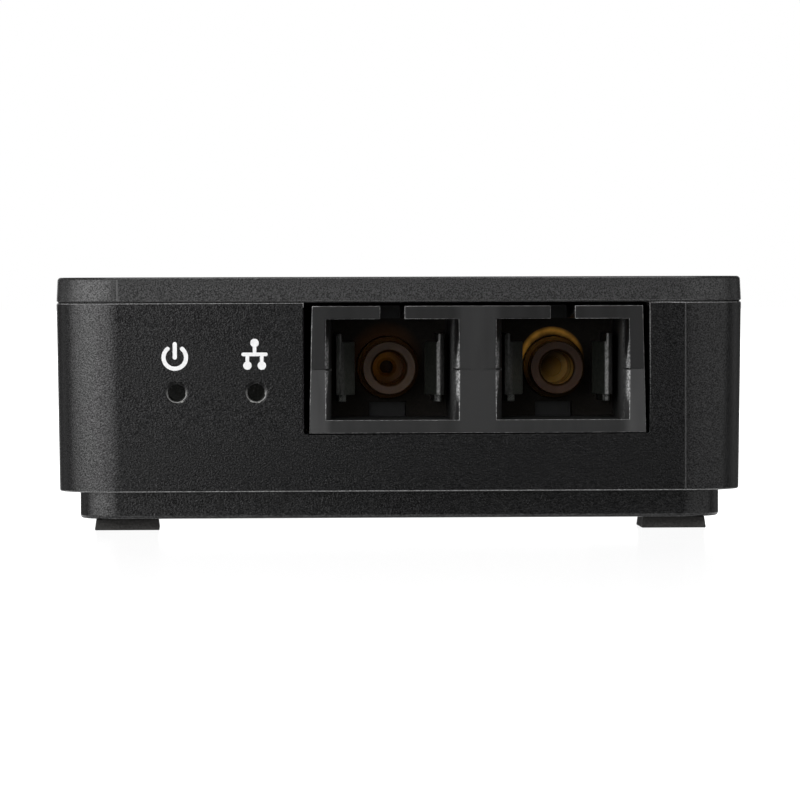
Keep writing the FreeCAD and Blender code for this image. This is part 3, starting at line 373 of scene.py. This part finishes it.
class Finish:
    """One material with a Principled shader and helpers for its textures, in the frame's own metres."""

    def __init__(self, name, **constants):
        self.material = bpy.data.materials.new(name)
        self.material.use_nodes = True
        self.tree = self.material.node_tree
        self.tree.nodes.clear()
        self.shader = add_node(self.tree, "ShaderNodeBsdfPrincipled")
        for socket, value in constants.items():
            self.shader.inputs[socket.replace("_", " ")].default_value = value
        add_node(self.tree, "ShaderNodeOutputMaterial", {0: self.shader.outputs[0]})
        self.place = add_node(self.tree, "ShaderNodeTexCoord").outputs

    def feed(self, socket, output):
        self.tree.links.new(output, self.shader.inputs[socket])

    def math(self, operation, first, second=0.0):
        return calculate(self.tree, operation, first, second)

    def product(self, first, *others):
        for other in others:
            first = self.math("MULTIPLY", first, other)
        return first

    def noise(self, size, detail=2.0, roughness=0.5, stretch=None):
        """Noise with features about size across, drawn out along an axis where stretch says so."""
        place = self.place["Object"]
        if stretch:
            place = add_node(self.tree, "ShaderNodeMapping", {0: place, "Scale": stretch}).outputs[0]
        inputs = {"Vector": place, "Scale": 1.0 / size, "Detail": detail, "Roughness": roughness}
        return add_node(self.tree, "ShaderNodeTexNoise", inputs).outputs["Fac"]

    def contrast(self, noise, low=0.0, high=1.0):
        """A noise drawn out to low to high."""
        return map_range(self.tree, noise, *NOISE_RANGE, low, high)

    def drift(self, noise, middle, reach):
        """A number that wanders with a noise, up to reach from the middle."""
        return self.contrast(noise, middle - reach, middle + reach)

    def rise(self, value, start, end):
        """0 up to start and 1 from end on."""
        return map_range(self.tree, value, start, end, 0.0, 1.0)

    def fall(self, value, start, end):
        """1 up to start and 0 from end on."""
        return map_range(self.tree, value, start, end, 1.0, 0.0)

    def between(self, value, low, high, edge):
        """1 where a value lies between low and high, with soft edges."""
        past_low = self.rise(value, low - edge, low + edge)
        return self.product(past_low, self.fall(value, high - edge, high + edge))

    def blend(self, mask, low, high):
        """A number that goes from low to high as a mask goes from 0 to 1."""
        return map_range(self.tree, mask, 0.0, 1.0, low, high)

    def shade(self, value, dark, light):
        """A colour between dark and light."""
        return self.mix(value, (*dark, 1), (*light, 1))

    def mix(self, factor, first, second):
        """One colour or the other."""
        inputs = {0: factor, 6: first, 7: second}
        return add_node(self.tree, "ShaderNodeMix", inputs, data_type="RGBA").outputs[2]

    def bump(self, height, depth, strength=1.0, under=None):
        """A bump of the depth, laid over another one where there is one under it."""
        inputs = {"Height": height, "Distance": depth, "Strength": strength}
        if under:
            inputs["Normal"] = under
        return add_node(self.tree, "ShaderNodeBump", inputs).outputs[0]

    def axis(self, source, name):
        """The part of the surface's place, or of its normal, along X, Y or Z."""
        return add_node(self.tree, "ShaderNodeSeparateXYZ", {0: self.place[source]}).outputs[name]

    def off_axis(self, centre):
        """The way from an axis along Y, through the centre, to the surface."""
        offset = vector_math(self.tree, "SUBTRACT", self.place["Object"], centre)
        return vector_math(self.tree, "MULTIPLY", offset, (1.0, 0.0, 1.0))

    def radius(self, centre):
        return vector_math(self.tree, "LENGTH", self.off_axis(centre), output="Value")

    def toward(self, centre, x, z):
        """How far the surface lies from an axis along Y towards a direction across it."""
        return vector_math(self.tree, "DOT_PRODUCT", self.off_axis(centre), (x, 0.0, z), output="Value")


def grained_plastic(name, dark, light, shine, line_side, line_tone, edges):
    """Moulded plastic with a glittering spark-eroded grain and a mould line at one round corner, painted
    pale as a painted highlight.

    edges holds the height of each outer edge with a painted highlight, with its dull and its bright tone.
    """
    finish = Finish(name)
    fine = finish.noise(GRAIN_SIZE)
    specks = finish.rise(finish.noise(SPECK_SIZE, detail=1.0), *SPECK_NOISE)
    height = finish.axis("Object", "Z")
    upward = finish.axis("Normal", "Z")
    tilt = finish.math("ABSOLUTE", upward)
    surface = finish.shade(specks, dark, light)

    # The mould line is real, and its pale tone is a painted highlight of the light its ridge catches
    across = finish.math("MULTIPLY", finish.axis("Object", "X"), line_side)
    tangent = case_high.x - CASE_CORNER
    line = finish.between(across, tangent - LINE_HALF, tangent + LINE_HALF, LINE_EDGE)
    over_plinth = finish.rise(height, BODY_BOTTOM_Z, BODY_BOTTOM_Z + LINE_START)
    line = finish.product(line, finish.fall(tilt, *LINE_TILT), over_plinth)
    surface = finish.mix(line, surface, finish.shade(fine, light, grey(line_tone)))

    # Painted highlight: the rounded lips of the outer edges near each given height are painted paler where
    # they lean, for the light they catch
    tilted = finish.between(tilt, *EDGE_SHINE_TILT, TILT_EDGE)
    for level, dull, bright in edges:
        near = finish.between(height, level - EDGE_SHINE_REACH, level + EDGE_SHINE_REACH, EDGE_SHINE_EDGE)
        painted_edge_shine = finish.shade(specks, grey(dull), grey(bright))
        surface = finish.mix(finish.product(near, tilted), surface, painted_edge_shine)

    # Painted highlight: the upward-facing lower part of each light hole's rim is painted pale, where
    # overhead light catches it
    frontward = finish.between(finish.axis("Normal", "Y"), *RIM_FRONTWARD, RIM_FRONTWARD_EDGE)
    turned = finish.product(finish.rise(upward, *RIM_UPWARD), frontward)
    rim = finish.shade(fine, grey(0.12, 0.115), grey(0.32, 0.31))
    for axis in light_axes:
        near = finish.between(finish.radius(axis), RIM_INNER, RIM_OUTER, RIM_EDGE)
        surface = finish.mix(finish.product(near, turned), surface, rim)

    finish.feed("Base Color", surface)
    finish.feed("Specular IOR Level", finish.blend(specks, *shine))
    finish.feed("Roughness", finish.drift(finish.noise(DRIFT_SIZE), CASE_ROUGHNESS, ROUGHNESS_DRIFT))
    finish.feed("Normal", finish.bump(fine, GRAIN_DEPTH))
    return finish.material


def satin_plastic(name, dark, light, middle_light, side_light, lead_dark, lead_light):
    """The port block's smooth plastic, with painted light on its middle and side bars, and a rough paler
    lead-in where the mouths were cut, painted paler still where it faces the light.
    """
    finish = Finish(name, Specular_IOR_Level=0.25)
    fine = finish.noise(LEAD_GRAIN, detail=1.0)
    specks = finish.rise(fine, *LEAD_NOISE)
    streaks = finish.noise(size=1.2 * MM, stretch=STREAKED_Z)
    place_x = finish.axis("Object", "X")
    leftward = finish.axis("Normal", "X")

    middle = (block_low.x + block_high.x) / 2
    half = block_high.x - middle
    across = finish.math("ABSOLUTE", finish.math("SUBTRACT", place_x, middle))
    # Painted light: the middle bar and the side bars are painted lighter than the rest of the face
    on_middle = finish.fall(across, *MIDDLE_BAR)
    on_side = finish.rise(across, *[half - inset for inset in SIDE_BAR])
    face = finish.shade(finish.contrast(streaks), dark, light)
    face = finish.mix(on_middle, face, finish.shade(streaks, light, middle_light))
    face = finish.mix(on_side, face, finish.shade(streaks, light, side_light))

    # Painted light: the right-hand walls inside the mouths are painted paler near the mouth, fading with
    # depth
    inside = finish.rise(place_x, *[block_low.x + inset for inset in WALL_START])
    in_mouth = finish.fall(finish.axis("Object", "Y"), block_low.y, block_low.y + WALL_FADE)
    right_wall_painted_light = finish.product(inside, in_mouth, finish.fall(leftward, *WALL_LEFTWARD))
    face = finish.mix(right_wall_painted_light, face, finish.shade(specks, grey(0.03), grey(0.1)))

    # Painted light: the right-hand flares, which face the light, are painted paler than the left-hand ones
    left_lead = finish.shade(specks, lead_dark, lead_light)
    right_lead = finish.shade(specks, times(lead_dark, RIGHT_FLARE), times(lead_light, RIGHT_FLARE))
    lead = finish.mix(finish.fall(leftward, *FLARE_LEFTWARD), left_lead, right_lead)
    lead_in = finish.between(finish.axis("Normal", "Y"), *LEAD_FRONTWARD, LEAD_EDGE)

    finish.feed("Base Color", finish.mix(lead_in, face, lead))
    finish.feed("Roughness", finish.blend(lead_in, low=0.45, high=0.4))
    smooth = finish.bump(finish.noise(size=0.25 * MM), depth=0.006 * MM)
    finish.feed("Normal", finish.bump(fine, depth=0.05 * MM, strength=lead_in, under=smooth))
    return finish.material


def clip_plastic(name, axis, reach, rim_reach, rim_dim, glow_dark, glow_light):
    """Dark arms on a plate painted with an amber glow, above the barrel most: painted light for the lit
    amber barrel behind it.

    The painted glow fades out over reach, and nearer to the barrel it starts dim and is full past rim_reach.
    """
    finish = Finish(name, Specular_IOR_Level=0.25)
    fine = finish.contrast(finish.noise(size=0.2 * MM, detail=3.0))
    along = finish.axis("Object", "Y")
    rightward = finish.toward(axis, 1.0, 0.0)

    # Painted light: an amber glow painted on the plate round the barrel, brightest above and left of it
    off_glow = finish.radius(axis + GLOW_OFFSET)
    rim = map_range(finish.tree, off_glow, *rim_reach, rim_dim, 1.0)
    high = finish.rise(finish.toward(axis, *GLOW_WAY), *PLATE_GLOW)
    mottled = finish.contrast(finish.noise(size=0.7 * MM, detail=3.0), GLOW_LEAST, 1.0)
    glow = finish.shade(finish.product(high, rim, mottled), glow_dark, glow_light)
    back = finish.shade(fine, (0.004, 0.003, 0.002), (0.009, 0.007, 0.005))
    plate = finish.mix(finish.fall(off_glow, *reach), back, glow)

    # Painted light and shade: the arms left of the barrel are painted paler than those right of it, and a
    # painted highlight runs along the right-hand arm's tip
    left_face = finish.shade(fine, (0.02, 0.022, 0.019), (0.036, 0.038, 0.034))
    right_face = finish.shade(fine, (0.006, 0.007, 0.006), (0.013, 0.014, 0.012))
    left_tip = finish.shade(fine, (0.025, 0.026, 0.024), (0.06, 0.06, 0.058))
    right_tip = finish.shade(fine, grey(0.015, 0.0145), grey(0.035, 0.034))
    painted_highlight_line = finish.shade(fine, grey(0.1, 0.098), grey(0.28, 0.275))
    on_line = finish.between(rightward, *ARM_LINE, ARM_LINE_EDGE)
    right_tip = finish.mix(on_line, right_tip, painted_highlight_line)
    on_right = finish.rise(rightward, -ARM_SPLIT, ARM_SPLIT)
    faces = finish.mix(on_right, left_face, right_face)
    tips = finish.mix(on_right, left_tip, right_tip)
    arms = finish.mix(finish.fall(along, *[clip_low.y + depth for depth in TIP_END]), faces, tips)

    on_plate = finish.rise(along, *[barrel_low.y + depth for depth in PLATE_START])
    finish.feed("Base Color", finish.mix(on_plate, arms, plate))
    finish.feed("Roughness", finish.blend(on_plate, low=0.28, high=0.7))
    finish.feed("Normal", finish.bump(fine, depth=0.006 * MM))
    return finish.material


def amber_plastic(name, axis, ring, bore, bright_side, shoulder):
    """Amber moulding: matt brown ring at the tip, clear amber in the bore with a painted glow towards one
    side, a painted amber highlight above and left on the shoulder, and painted shade on the tip's edges.

    ring, bore and shoulder each hold a dark colour and a light one.
    """
    finish = Finish(name, Specular_IOR_Level=0.15, Subsurface_Weight=0.3, Subsurface_Scale=0.6 * MM,
                    Subsurface_Radius=(1.0, 0.4, 0.1))
    cloud = finish.contrast(finish.noise(size=1.4 * MM, detail=3.0))
    along = finish.axis("Object", "Y")
    at_tip = finish.fall(along, *[barrel_low.y + depth for depth in RING_DEPTH])
    start, end = [barrel_low.y + depth for depth in SHOULDER_DEPTH]
    at_shoulder = finish.between(along, start, end, SHOULDER_EDGE)
    frontward = finish.fall(finish.axis("Normal", "Y"), *RING_FRONTWARD)
    on_ring = finish.product(frontward, finish.rise(finish.radius(axis), *RING_INNER))

    # Painted light: the bore is painted brighter towards bright_side, and the shoulder brighter above and
    # left of the axis
    lit = finish.rise(finish.toward(axis, *bright_side), *BORE_GLOW)
    high = finish.rise(finish.toward(axis, *GLOW_WAY), *SHOULDER_GLOW)
    clear = finish.shade(finish.product(lit, lit), *bore)
    inner = finish.mix(at_shoulder, clear, finish.shade(high, *shoulder))
    # Painted shade: the tip's edges round the ring are painted dark brown
    tip_edge_shade = finish.shade(cloud, (0.008, 0.003, 0.0008), (0.014, 0.006, 0.0015))
    tip = finish.mix(on_ring, tip_edge_shade, finish.shade(cloud, *ring))

    matt_ring = finish.blend(finish.product(on_ring, at_tip), low=0.3, high=0.5)
    matt_shoulder = finish.blend(at_shoulder, low=0.0, high=0.8)
    finish.feed("Base Color", finish.mix(at_tip, inner, tip))
    finish.feed("Roughness", finish.math("MAXIMUM", matt_ring, matt_shoulder))
    finish.feed("Normal", finish.bump(finish.noise(size=0.25 * MM, detail=3.0), depth=0.01 * MM))
    return finish.material


def pad_rubber(name):
    finish = Finish(name, Specular_IOR_Level=0.2)
    fine = finish.noise(size=0.2 * MM, detail=4.0, roughness=0.6)
    slow = finish.noise(size=2.0 * MM)
    rubber = finish.shade(finish.contrast(fine), (0.02, 0.0195, 0.0185), (0.044, 0.0425, 0.041))
    finish.feed("Base Color", rubber)
    finish.feed("Roughness", finish.contrast(slow, low=0.7, high=0.85))
    finish.feed("Normal", finish.bump(fine, depth=0.05 * MM))
    return finish.material


def white_print(name):
    """Pad-printed white ink, a little uneven."""
    finish = Finish(name, Specular_IOR_Level=0.3)
    patches = finish.contrast(finish.noise(size=0.15 * MM))
    slow = finish.noise(size=0.5 * MM)
    finish.feed("Base Color", finish.shade(patches, grey(0.78), grey(0.86)))
    finish.feed("Roughness", finish.contrast(slow, low=0.5, high=0.65))
    finish.feed("Normal", finish.bump(finish.noise(size=0.12 * MM), depth=0.004 * MM))
    return finish.material


def add_drawn_lines(finish, roughness, stretch):
    """Gives a metal the fine lines of rolling or drawing."""
    lines = finish.noise(size=0.1 * MM, detail=3.0, stretch=stretch)
    finish.feed("Roughness", finish.drift(lines, roughness, reach=0.06))
    finish.feed("Normal", finish.bump(lines, depth=0.004 * MM))


def sheet_metal(name, dark, light, roughness, stretch=ALONG_Y):
    """Rolled or drawn metal with fine lines along its length."""
    finish = Finish(name, Metallic=1.0)
    patches = finish.contrast(finish.noise(size=1.5 * MM))
    finish.feed("Base Color", finish.shade(patches, dark, light))
    add_drawn_lines(finish, roughness, stretch)
    return finish.material


def optic_can(name, axis):
    """A plated can with a dark amber window where the fibre's light passes."""
    finish = Finish(name, Specular_IOR_Level=0.1)
    window = finish.fall(finish.radius(axis), *WINDOW_EDGE)
    patches = finish.contrast(finish.noise(size=1.5 * MM))
    plated = finish.shade(patches, grey(0.52, 0.5), grey(0.66, 0.63))
    glass = finish.shade(finish.noise(size=0.5 * MM), (0.014, 0.004, 0.001), (0.026, 0.009, 0.002))
    finish.feed("Base Color", finish.mix(window, plated, glass))
    finish.feed("Metallic", finish.blend(window, low=1.0, high=0.0))
    add_drawn_lines(finish, roughness=0.3, stretch=ALONG_Y)
    return finish.material


def dull_block(name, dark, light, roughness, grain=0.2 * MM):
    """Moulded or fired blocks on the boards."""
    finish = Finish(name, Specular_IOR_Level=0.4)
    fine = finish.noise(grain, detail=3.0)
    slow = finish.noise(size=1.0 * MM)
    finish.feed("Base Color", finish.shade(finish.contrast(fine), dark, light))
    finish.feed("Roughness", finish.drift(slow, roughness, reach=0.05))
    finish.feed("Normal", finish.bump(fine, depth=0.01 * MM))
    return finish.material


def circuit_board(name):
    """Green lacquer over copper: tracks show as paler raised bands, the laminate's weave as a fine bump."""
    finish = Finish(name, Specular_IOR_Level=0.5, Coat_Weight=0.3, Coat_Roughness=0.2)
    bricks = {"Vector": finish.place["Object"], "Scale": 90.0, "Mortar Size": 0.03, "Brick Width": 0.7,
              "Row Height": 0.12}
    tracks = add_node(finish.tree, "ShaderNodeTexBrick", bricks).outputs["Fac"]
    weave = finish.noise(size=0.4 * MM, stretch=WOVEN_Y)
    raised = finish.bump(tracks, depth=0.03 * MM)
    finish.feed("Base Color", finish.shade(tracks, (0.008, 0.07, 0.025), (0.03, 0.16, 0.06)))
    finish.feed("Roughness", finish.contrast(weave, low=0.25, high=0.4))
    finish.feed("Normal", finish.bump(weave, depth=0.01 * MM, under=raised))
    return finish.material


def dark_resin_painted_shade(name):
    """Resin of the indicator lights, painted nearly black as painted shade for the dark holes they sit
    behind, faintly clouded.
    """
    finish = Finish(name, Specular_IOR_Level=0.3)
    cloud = finish.noise(size=0.8 * MM)
    finish.feed("Base Color", finish.shade(cloud, (0.004, 0.0045, 0.0035), (0.01, 0.011, 0.008)))
    finish.feed("Roughness", finish.contrast(cloud, low=0.05, high=0.15))
    return finish.material


def dress(material, *names):
    for name in names:
        nodes[name].material_slots[0].material = material


# The lid's tones are paler than the case's: partly a finer moulding, partly painted light for its
# upward-leaning wall catching more light
lid_grain = grained_plastic(
    "lid_grain", dark=grey(0.014, 0.0142), light=grey(0.044, 0.0445), shine=(0.18, 0.58),
    line_side=-1.0, line_tone=0.14, edges=[(LID_EDGE_Z, 0.06, 0.16)])
case_grain = grained_plastic(
    "case_grain", dark=grey(0.0005, 0.0006), light=grey(0.003, 0.0034), shine=(0.24, 0.76),
    line_side=1.0, line_tone=0.08, edges=[(BODY_TOP_Z, 0.08, 0.24), (BODY_BOTTOM_Z, 0.12, 0.32)])
# The two shells are shaded and lit copies of one plastic: the upper one painted darker as painted shade, the
# lower one lighter as painted light
upper_satin = satin_plastic(
    "port_satin_upper", dark=grey(0.009), light=grey(0.014, 0.0142), middle_light=grey(0.034, 0.0342),
    side_light=grey(0.016, 0.0162), lead_dark=grey(0.08), lead_light=grey(0.28))
lower_satin = satin_plastic(
    "port_satin_lower", dark=grey(0.018), light=grey(0.024, 0.0242), middle_light=grey(0.028, 0.0282),
    side_light=grey(0.07, 0.0705), lead_dark=grey(0.08), lead_light=grey(0.32))
left_clip = clip_plastic(
    "clip_dark_left", transmit_axis, reach=(1.6 * MM, 3.0 * MM), rim_reach=(1.2 * MM, 2.0 * MM),
    rim_dim=0.4, glow_dark=(0.024, 0.01, 0.003), glow_light=(0.06, 0.023, 0.005))
right_clip = clip_plastic(
    "clip_dark_right", receive_axis, reach=(2.25 * MM, 2.5 * MM), rim_reach=(1.85 * MM, 2.15 * MM),
    rim_dim=0.1, glow_dark=(0.012, 0.006, 0.002), glow_light=(0.9, 0.44, 0.07))
transmit_amber = amber_plastic(
    "amber_transmit", transmit_axis, ring=[(0.032, 0.02, 0.0135), (0.05, 0.032, 0.022)],
    bore=[(0.08, 0.03, 0.003), (0.2, 0.08, 0.008)], bright_side=(-0.7, 0.7),
    shoulder=[(0.026, 0.011, 0.003), (0.045, 0.019, 0.004)])
receive_amber = amber_plastic(
    "amber_receive", receive_axis, ring=[(0.022, 0.0115, 0.007), (0.036, 0.019, 0.012)],
    bore=[(0.02, 0.009, 0.0015), (0.34, 0.19, 0.045)], bright_side=(0.7, -0.7),
    shoulder=[(0.016, 0.008, 0.002), (0.11, 0.05, 0.01)])
socket_steel = sheet_metal("socket_steel", dark=grey(0.52, 0.51), light=grey(0.66, 0.64), roughness=0.3)
tinned_lead = sheet_metal(
    "tinned_lead", dark=grey(0.55, 0.54), light=grey(0.7, 0.68), roughness=0.35, stretch=ALONG_Z)
contact_plating = sheet_metal(
    "contact_plating", dark=(0.72, 0.5, 0.17), light=(0.85, 0.62, 0.24), roughness=0.25)
crystal_nickel = sheet_metal(
    "crystal_nickel", dark=(0.58, 0.57, 0.54), light=(0.7, 0.69, 0.66), roughness=0.28)
socket_moulding = dull_block("socket_moulding", dark=grey(0.008), light=grey(0.016), roughness=0.5)
chip_epoxy = dull_block("chip_epoxy", dark=grey(0.01, 0.011), light=grey(0.02, 0.021), roughness=0.6)
capacitor_resin = dull_block(
    "capacitor_resin", dark=(0.5, 0.3, 0.03), light=(0.62, 0.38, 0.06), roughness=0.45, grain=0.4 * MM)
ferrite = dull_block("ferrite", dark=grey(0.05, 0.053), light=grey(0.09, 0.095), roughness=0.65)
ceramic = dull_block("ceramic", dark=(0.3, 0.2, 0.11), light=(0.42, 0.29, 0.17), roughness=0.5)

dress(lid_grain, "top_cover")
dress(case_grain, "lower_case")
dress(upper_satin, "port_shell_upper")
dress(lower_satin, "port_shell_lower")
dress(left_clip, "latch_clip_left")
dress(right_clip, "latch_clip_right")
dress(transmit_amber, "transmit_barrel")
dress(receive_amber, "receive_barrel")
dress(pad_rubber("foot_rubber"), *FEET)
dress(circuit_board("board_lacquer"), "main_board", "optic_board")
dress(optic_can("can_transmit", transmit_axis), "transmit_can")
dress(optic_can("can_receive", receive_axis), "receive_can")
dress(socket_steel, "socket_shell")
dress(tinned_lead, "optic_leads", "optic_pins", "light_leads", "chip_leads")
dress(contact_plating, "socket_contacts")
dress(crystal_nickel, "clock_crystal")
dress(socket_moulding, "socket_tongue")
dress(chip_epoxy, "controller_chip", "memory_chip", "voltage_regulator", "optic_chips")
dress(capacitor_resin, "filter_capacitors")
dress(ferrite, "power_inductors")
dress(ceramic, "chip_passives")
dress(dark_resin_painted_shade("light_resin"), "power_light", "link_light")


# Printed signs


def on_circle(centre, radius, angle):
    """A point on a circle, its angle counted from +X towards +Z."""
    turn = math.radians(angle)
    return (centre[0] + radius * math.cos(turn), centre[1] + radius * math.sin(turn))


def arc(centre, radius, start, end):
    """Points along an arc, from one angle to another."""
    angles = [start + (end - start) * step / ARC_STEPS for step in range(ARC_STEPS + 1)]
    return [on_circle(centre, radius, angle) for angle in angles]


def power_ring():
    """A round stroke with rounded ends, open at the top."""
    centre = (POWER_X, POWER_Z)
    half = POWER_STROKE / 2
    start = 90.0 + POWER_GAP
    end = 450.0 - POWER_GAP
    points = arc(centre, POWER_RADIUS + half, start, end)
    points += arc(on_circle(centre, POWER_RADIUS, end), half, end, end + 180.0)[1:]
    points += arc(centre, POWER_RADIUS - half, end, start)[1:]
    points += arc(on_circle(centre, POWER_RADIUS, start), half, start + 180.0, start + 360.0)[1:-1]
    return points


def power_bar():
    half = POWER_STROKE / 2
    top = arc((POWER_X, POWER_BAR_HIGH - half), half, 0.0, 180.0)
    bottom = arc((POWER_X, POWER_BAR_LOW + half), half, 180.0, 360.0)
    return top + bottom


def network_tree():
    """One ball over a bar with two balls hung below it, as one outline mirrored about the stem."""
    half = NETWORK_STROKE / 2
    meet = math.degrees(math.acos(half / NETWORK_BALL))
    right = arc((0.0, NETWORK_TOP_Z), NETWORK_BALL, 90.0, -meet)
    right.append((half, NETWORK_BAR_Z + half))
    right += arc((NETWORK_BAR_HALF - half, NETWORK_BAR_Z), half, 90.0, -90.0)
    right.append((NETWORK_LEG + half, NETWORK_BAR_Z - half))
    right += arc((NETWORK_LEG, NETWORK_BOTTOM_Z), NETWORK_BALL, meet, -180.0 - meet)
    right.append((NETWORK_LEG - half, NETWORK_BAR_Z - half))
    left = [(-x, z) for x, z in reversed(right[1:])]
    return [(NETWORK_X + x, z) for x, z in right + left]


def wall_y(x, z):
    """Where the front wall's surface is, straight behind a point in front of it."""
    start = Vector((x, 2 * case_low.y, z))
    return nodes["lower_case"].ray_cast(start, Vector((0, 1, 0)))[1].y


def printed(name, outlines, material):
    """Thin closed prints that lie on the drafted front wall."""
    mesh = bmesh.new()
    for outline in outlines:
        front = [mesh.verts.new((x, wall_y(x, z) - PRINT_THICKNESS, z)) for x, z in outline]
        back = [mesh.verts.new((x, wall_y(x, z) + PRINT_SINK, z)) for x, z in outline]
        mesh.faces.new(front)
        mesh.faces.new(reversed(back))
        for i in range(len(outline)):
            j = (i + 1) % len(outline)
            mesh.faces.new((front[j], front[i], back[i], back[j]))
    bmesh.ops.recalc_face_normals(mesh, faces=mesh.faces)
    bmesh.ops.triangulate(mesh, faces=[face for face in mesh.faces if len(face.verts) > 4])
    data = bpy.data.meshes.new(name)
    mesh.to_mesh(data)
    mesh.free()
    data.materials.append(material)
    sign = bpy.data.objects.new(name, data)
    bpy.context.scene.collection.objects.link(sign)
    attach(sign, "root")


ink = white_print("sign_white")
printed("power_sign", [power_ring(), power_bar()], ink)
printed("network_sign", [network_tree()], ink)


# Stage


def ray_kinds(tree):
    """1 for rays from the camera, and 1 for rays that a glossy or clear surface sends on."""
    path = add_node(tree, "ShaderNodeLightPath").outputs
    mirrored = calculate(tree, "MAXIMUM", path["Is Glossy Ray"], path["Is Transmission Ray"])
    return path["Is Camera Ray"], mirrored


def white_floor(size, glow, albedo, room):
    """A white floor that glows for the camera just enough to be white, and still takes the shadow."""
    bpy.ops.mesh.primitive_plane_add(size=size)
    floor = bpy.context.object
    floor.name = "floor"
    material = bpy.data.materials.new("floor_white")
    material.use_nodes = True
    tree = material.node_tree
    tree.nodes.clear()
    inputs = {"Base Color": (*grey(albedo), 1), "Roughness": FLOOR_ROUGHNESS}
    paper = add_node(tree, "ShaderNodeBsdfPrincipled", inputs)
    place = add_node(tree, "ShaderNodeTexCoord").outputs["Object"]
    rising = map_range(tree, vector_math(tree, "LENGTH", place, output="Value"), *GLOW_DISTANCE, glow, 1.0)
    spot = add_node(tree, "ShaderNodeSeparateXYZ", {0: vector_math(tree, "ABSOLUTE", place)}).outputs
    x_past = calculate(tree, "SUBTRACT", spot["X"], case_high.x)
    y_past = calculate(tree, "SUBTRACT", spot["Y"], case_high.y)
    fading = map_range(tree, calculate(tree, "MAXIMUM", x_past, y_past), *FADE_DISTANCE, 1.0, room)
    from_camera, mirrored = ray_kinds(tree)
    seen = calculate(tree, "MAXIMUM", calculate(tree, "MULTIPLY", mirrored, fading), from_camera)
    light = add_node(tree, "ShaderNodeEmission", {"Strength": calculate(tree, "MULTIPLY", seen, rising)})
    glowing = add_node(tree, "ShaderNodeAddShader", {0: paper.outputs[0], 1: light.outputs[0]})
    add_node(tree, "ShaderNodeOutputMaterial", {0: glowing.outputs[0]})
    floor.data.materials.append(material)


def white_world(ambient, room):
    """White for the camera, and in reflections white behind the object and a dim room in front of it."""
    world = bpy.data.worlds.new("studio")
    bpy.context.scene.world = world
    world.use_nodes = True
    tree = world.node_tree
    tree.nodes.clear()
    direction = add_node(tree, "ShaderNodeTexCoord").outputs["Generated"]
    backward = add_node(tree, "ShaderNodeSeparateXYZ", {0: direction}).outputs["Y"]
    behind = map_range(tree, backward, *BEHIND, room, 1.0)
    from_camera, mirrored = ray_kinds(tree)
    lit = add_node(tree, "ShaderNodeMix", {0: mirrored, 2: ambient, 3: behind}, data_type="FLOAT").outputs[0]
    strength = calculate(tree, "MAXIMUM", lit, from_camera)
    sky = add_node(tree, "ShaderNodeBackground", {"Color": (1, 1, 1, 1), "Strength": strength})
    add_node(tree, "ShaderNodeOutputWorld", {0: sky.outputs[0]})


def soft_light(name, azimuth, elevation, distance, width, height, power, spread=180.0, glossy=True):
    """A soft box that faces the object, azimuth counted from the front towards the right."""
    data = bpy.data.lights.new(name, "AREA")
    data.shape = "RECTANGLE"
    data.size = width
    data.size_y = height
    data.energy = power
    data.spread = math.radians(spread)
    lamp = bpy.data.objects.new(name, data)
    bpy.context.scene.collection.objects.link(lamp)
    turn = math.radians(azimuth)
    rise = math.radians(elevation)
    target = (case_low + lid_high) / 2
    outward = Vector((math.sin(turn) * math.cos(rise), -math.cos(turn) * math.cos(rise), math.sin(rise)))
    lamp.location = target + outward * distance
    lamp.rotation_euler = (-outward).to_track_quat("-Z", "Y").to_euler()
    lamp.visible_glossy = glossy


def photo_camera():
    data = bpy.data.cameras.new("camera")
    data.sensor_width = SENSOR_WIDTH
    data.lens = SENSOR_WIDTH * CAMERA_DISTANCE / FRAME_WIDTH
    camera = bpy.data.objects.new("camera", data)
    bpy.context.scene.collection.objects.link(camera)
    camera.location = (CAMERA_X, block_low.y - CAMERA_DISTANCE, CAMERA_HEIGHT)
    aim = Vector((AIM_X, block_low.y, AIM_HEIGHT)) - camera.location
    camera.rotation_euler = aim.to_track_quat("-Z", "Y").to_euler()
    camera.rotation_euler.rotate_axis("Z", math.radians(CAMERA_ROLL))
    bpy.context.scene.camera = camera


white_floor(size=6000.0 * MM, glow=0.88, albedo=0.2, room=0.05)
white_world(ambient=0.06, room=0.03)
soft_light("left_box", azimuth=-51.0, elevation=12.0, distance=180.0 * MM, width=386.0 * MM,
           height=100.0 * MM, power=0.172, spread=116.0)
soft_light("right_box", azimuth=51.0, elevation=9.0, distance=250.0 * MM, width=430.0 * MM,
           height=100.0 * MM, power=0.07, spread=148.0)
soft_light("top_box", azimuth=0.0, elevation=80.0, distance=450.0 * MM, width=300.0 * MM,
           height=300.0 * MM, power=0.6)
soft_light("left_rim", azimuth=-114.0, elevation=4.0, distance=250.0 * MM, width=120.0 * MM,
           height=60.0 * MM, power=0.0055)
soft_light("right_rim", azimuth=114.0, elevation=4.0, distance=250.0 * MM, width=120.0 * MM,
           height=60.0 * MM, power=0.0045)
soft_light("front_fill", azimuth=0.0, elevation=35.0, distance=600.0 * MM, width=400.0 * MM,
           height=200.0 * MM, power=1.5, glossy=False)
soft_light("camera_fill", azimuth=0.0, elevation=1.5, distance=550.0 * MM, width=60.0 * MM,
           height=30.0 * MM, power=0.3, glossy=False)
photo_camera()
bpy.context.scene.view_settings.view_transform = "Standard"
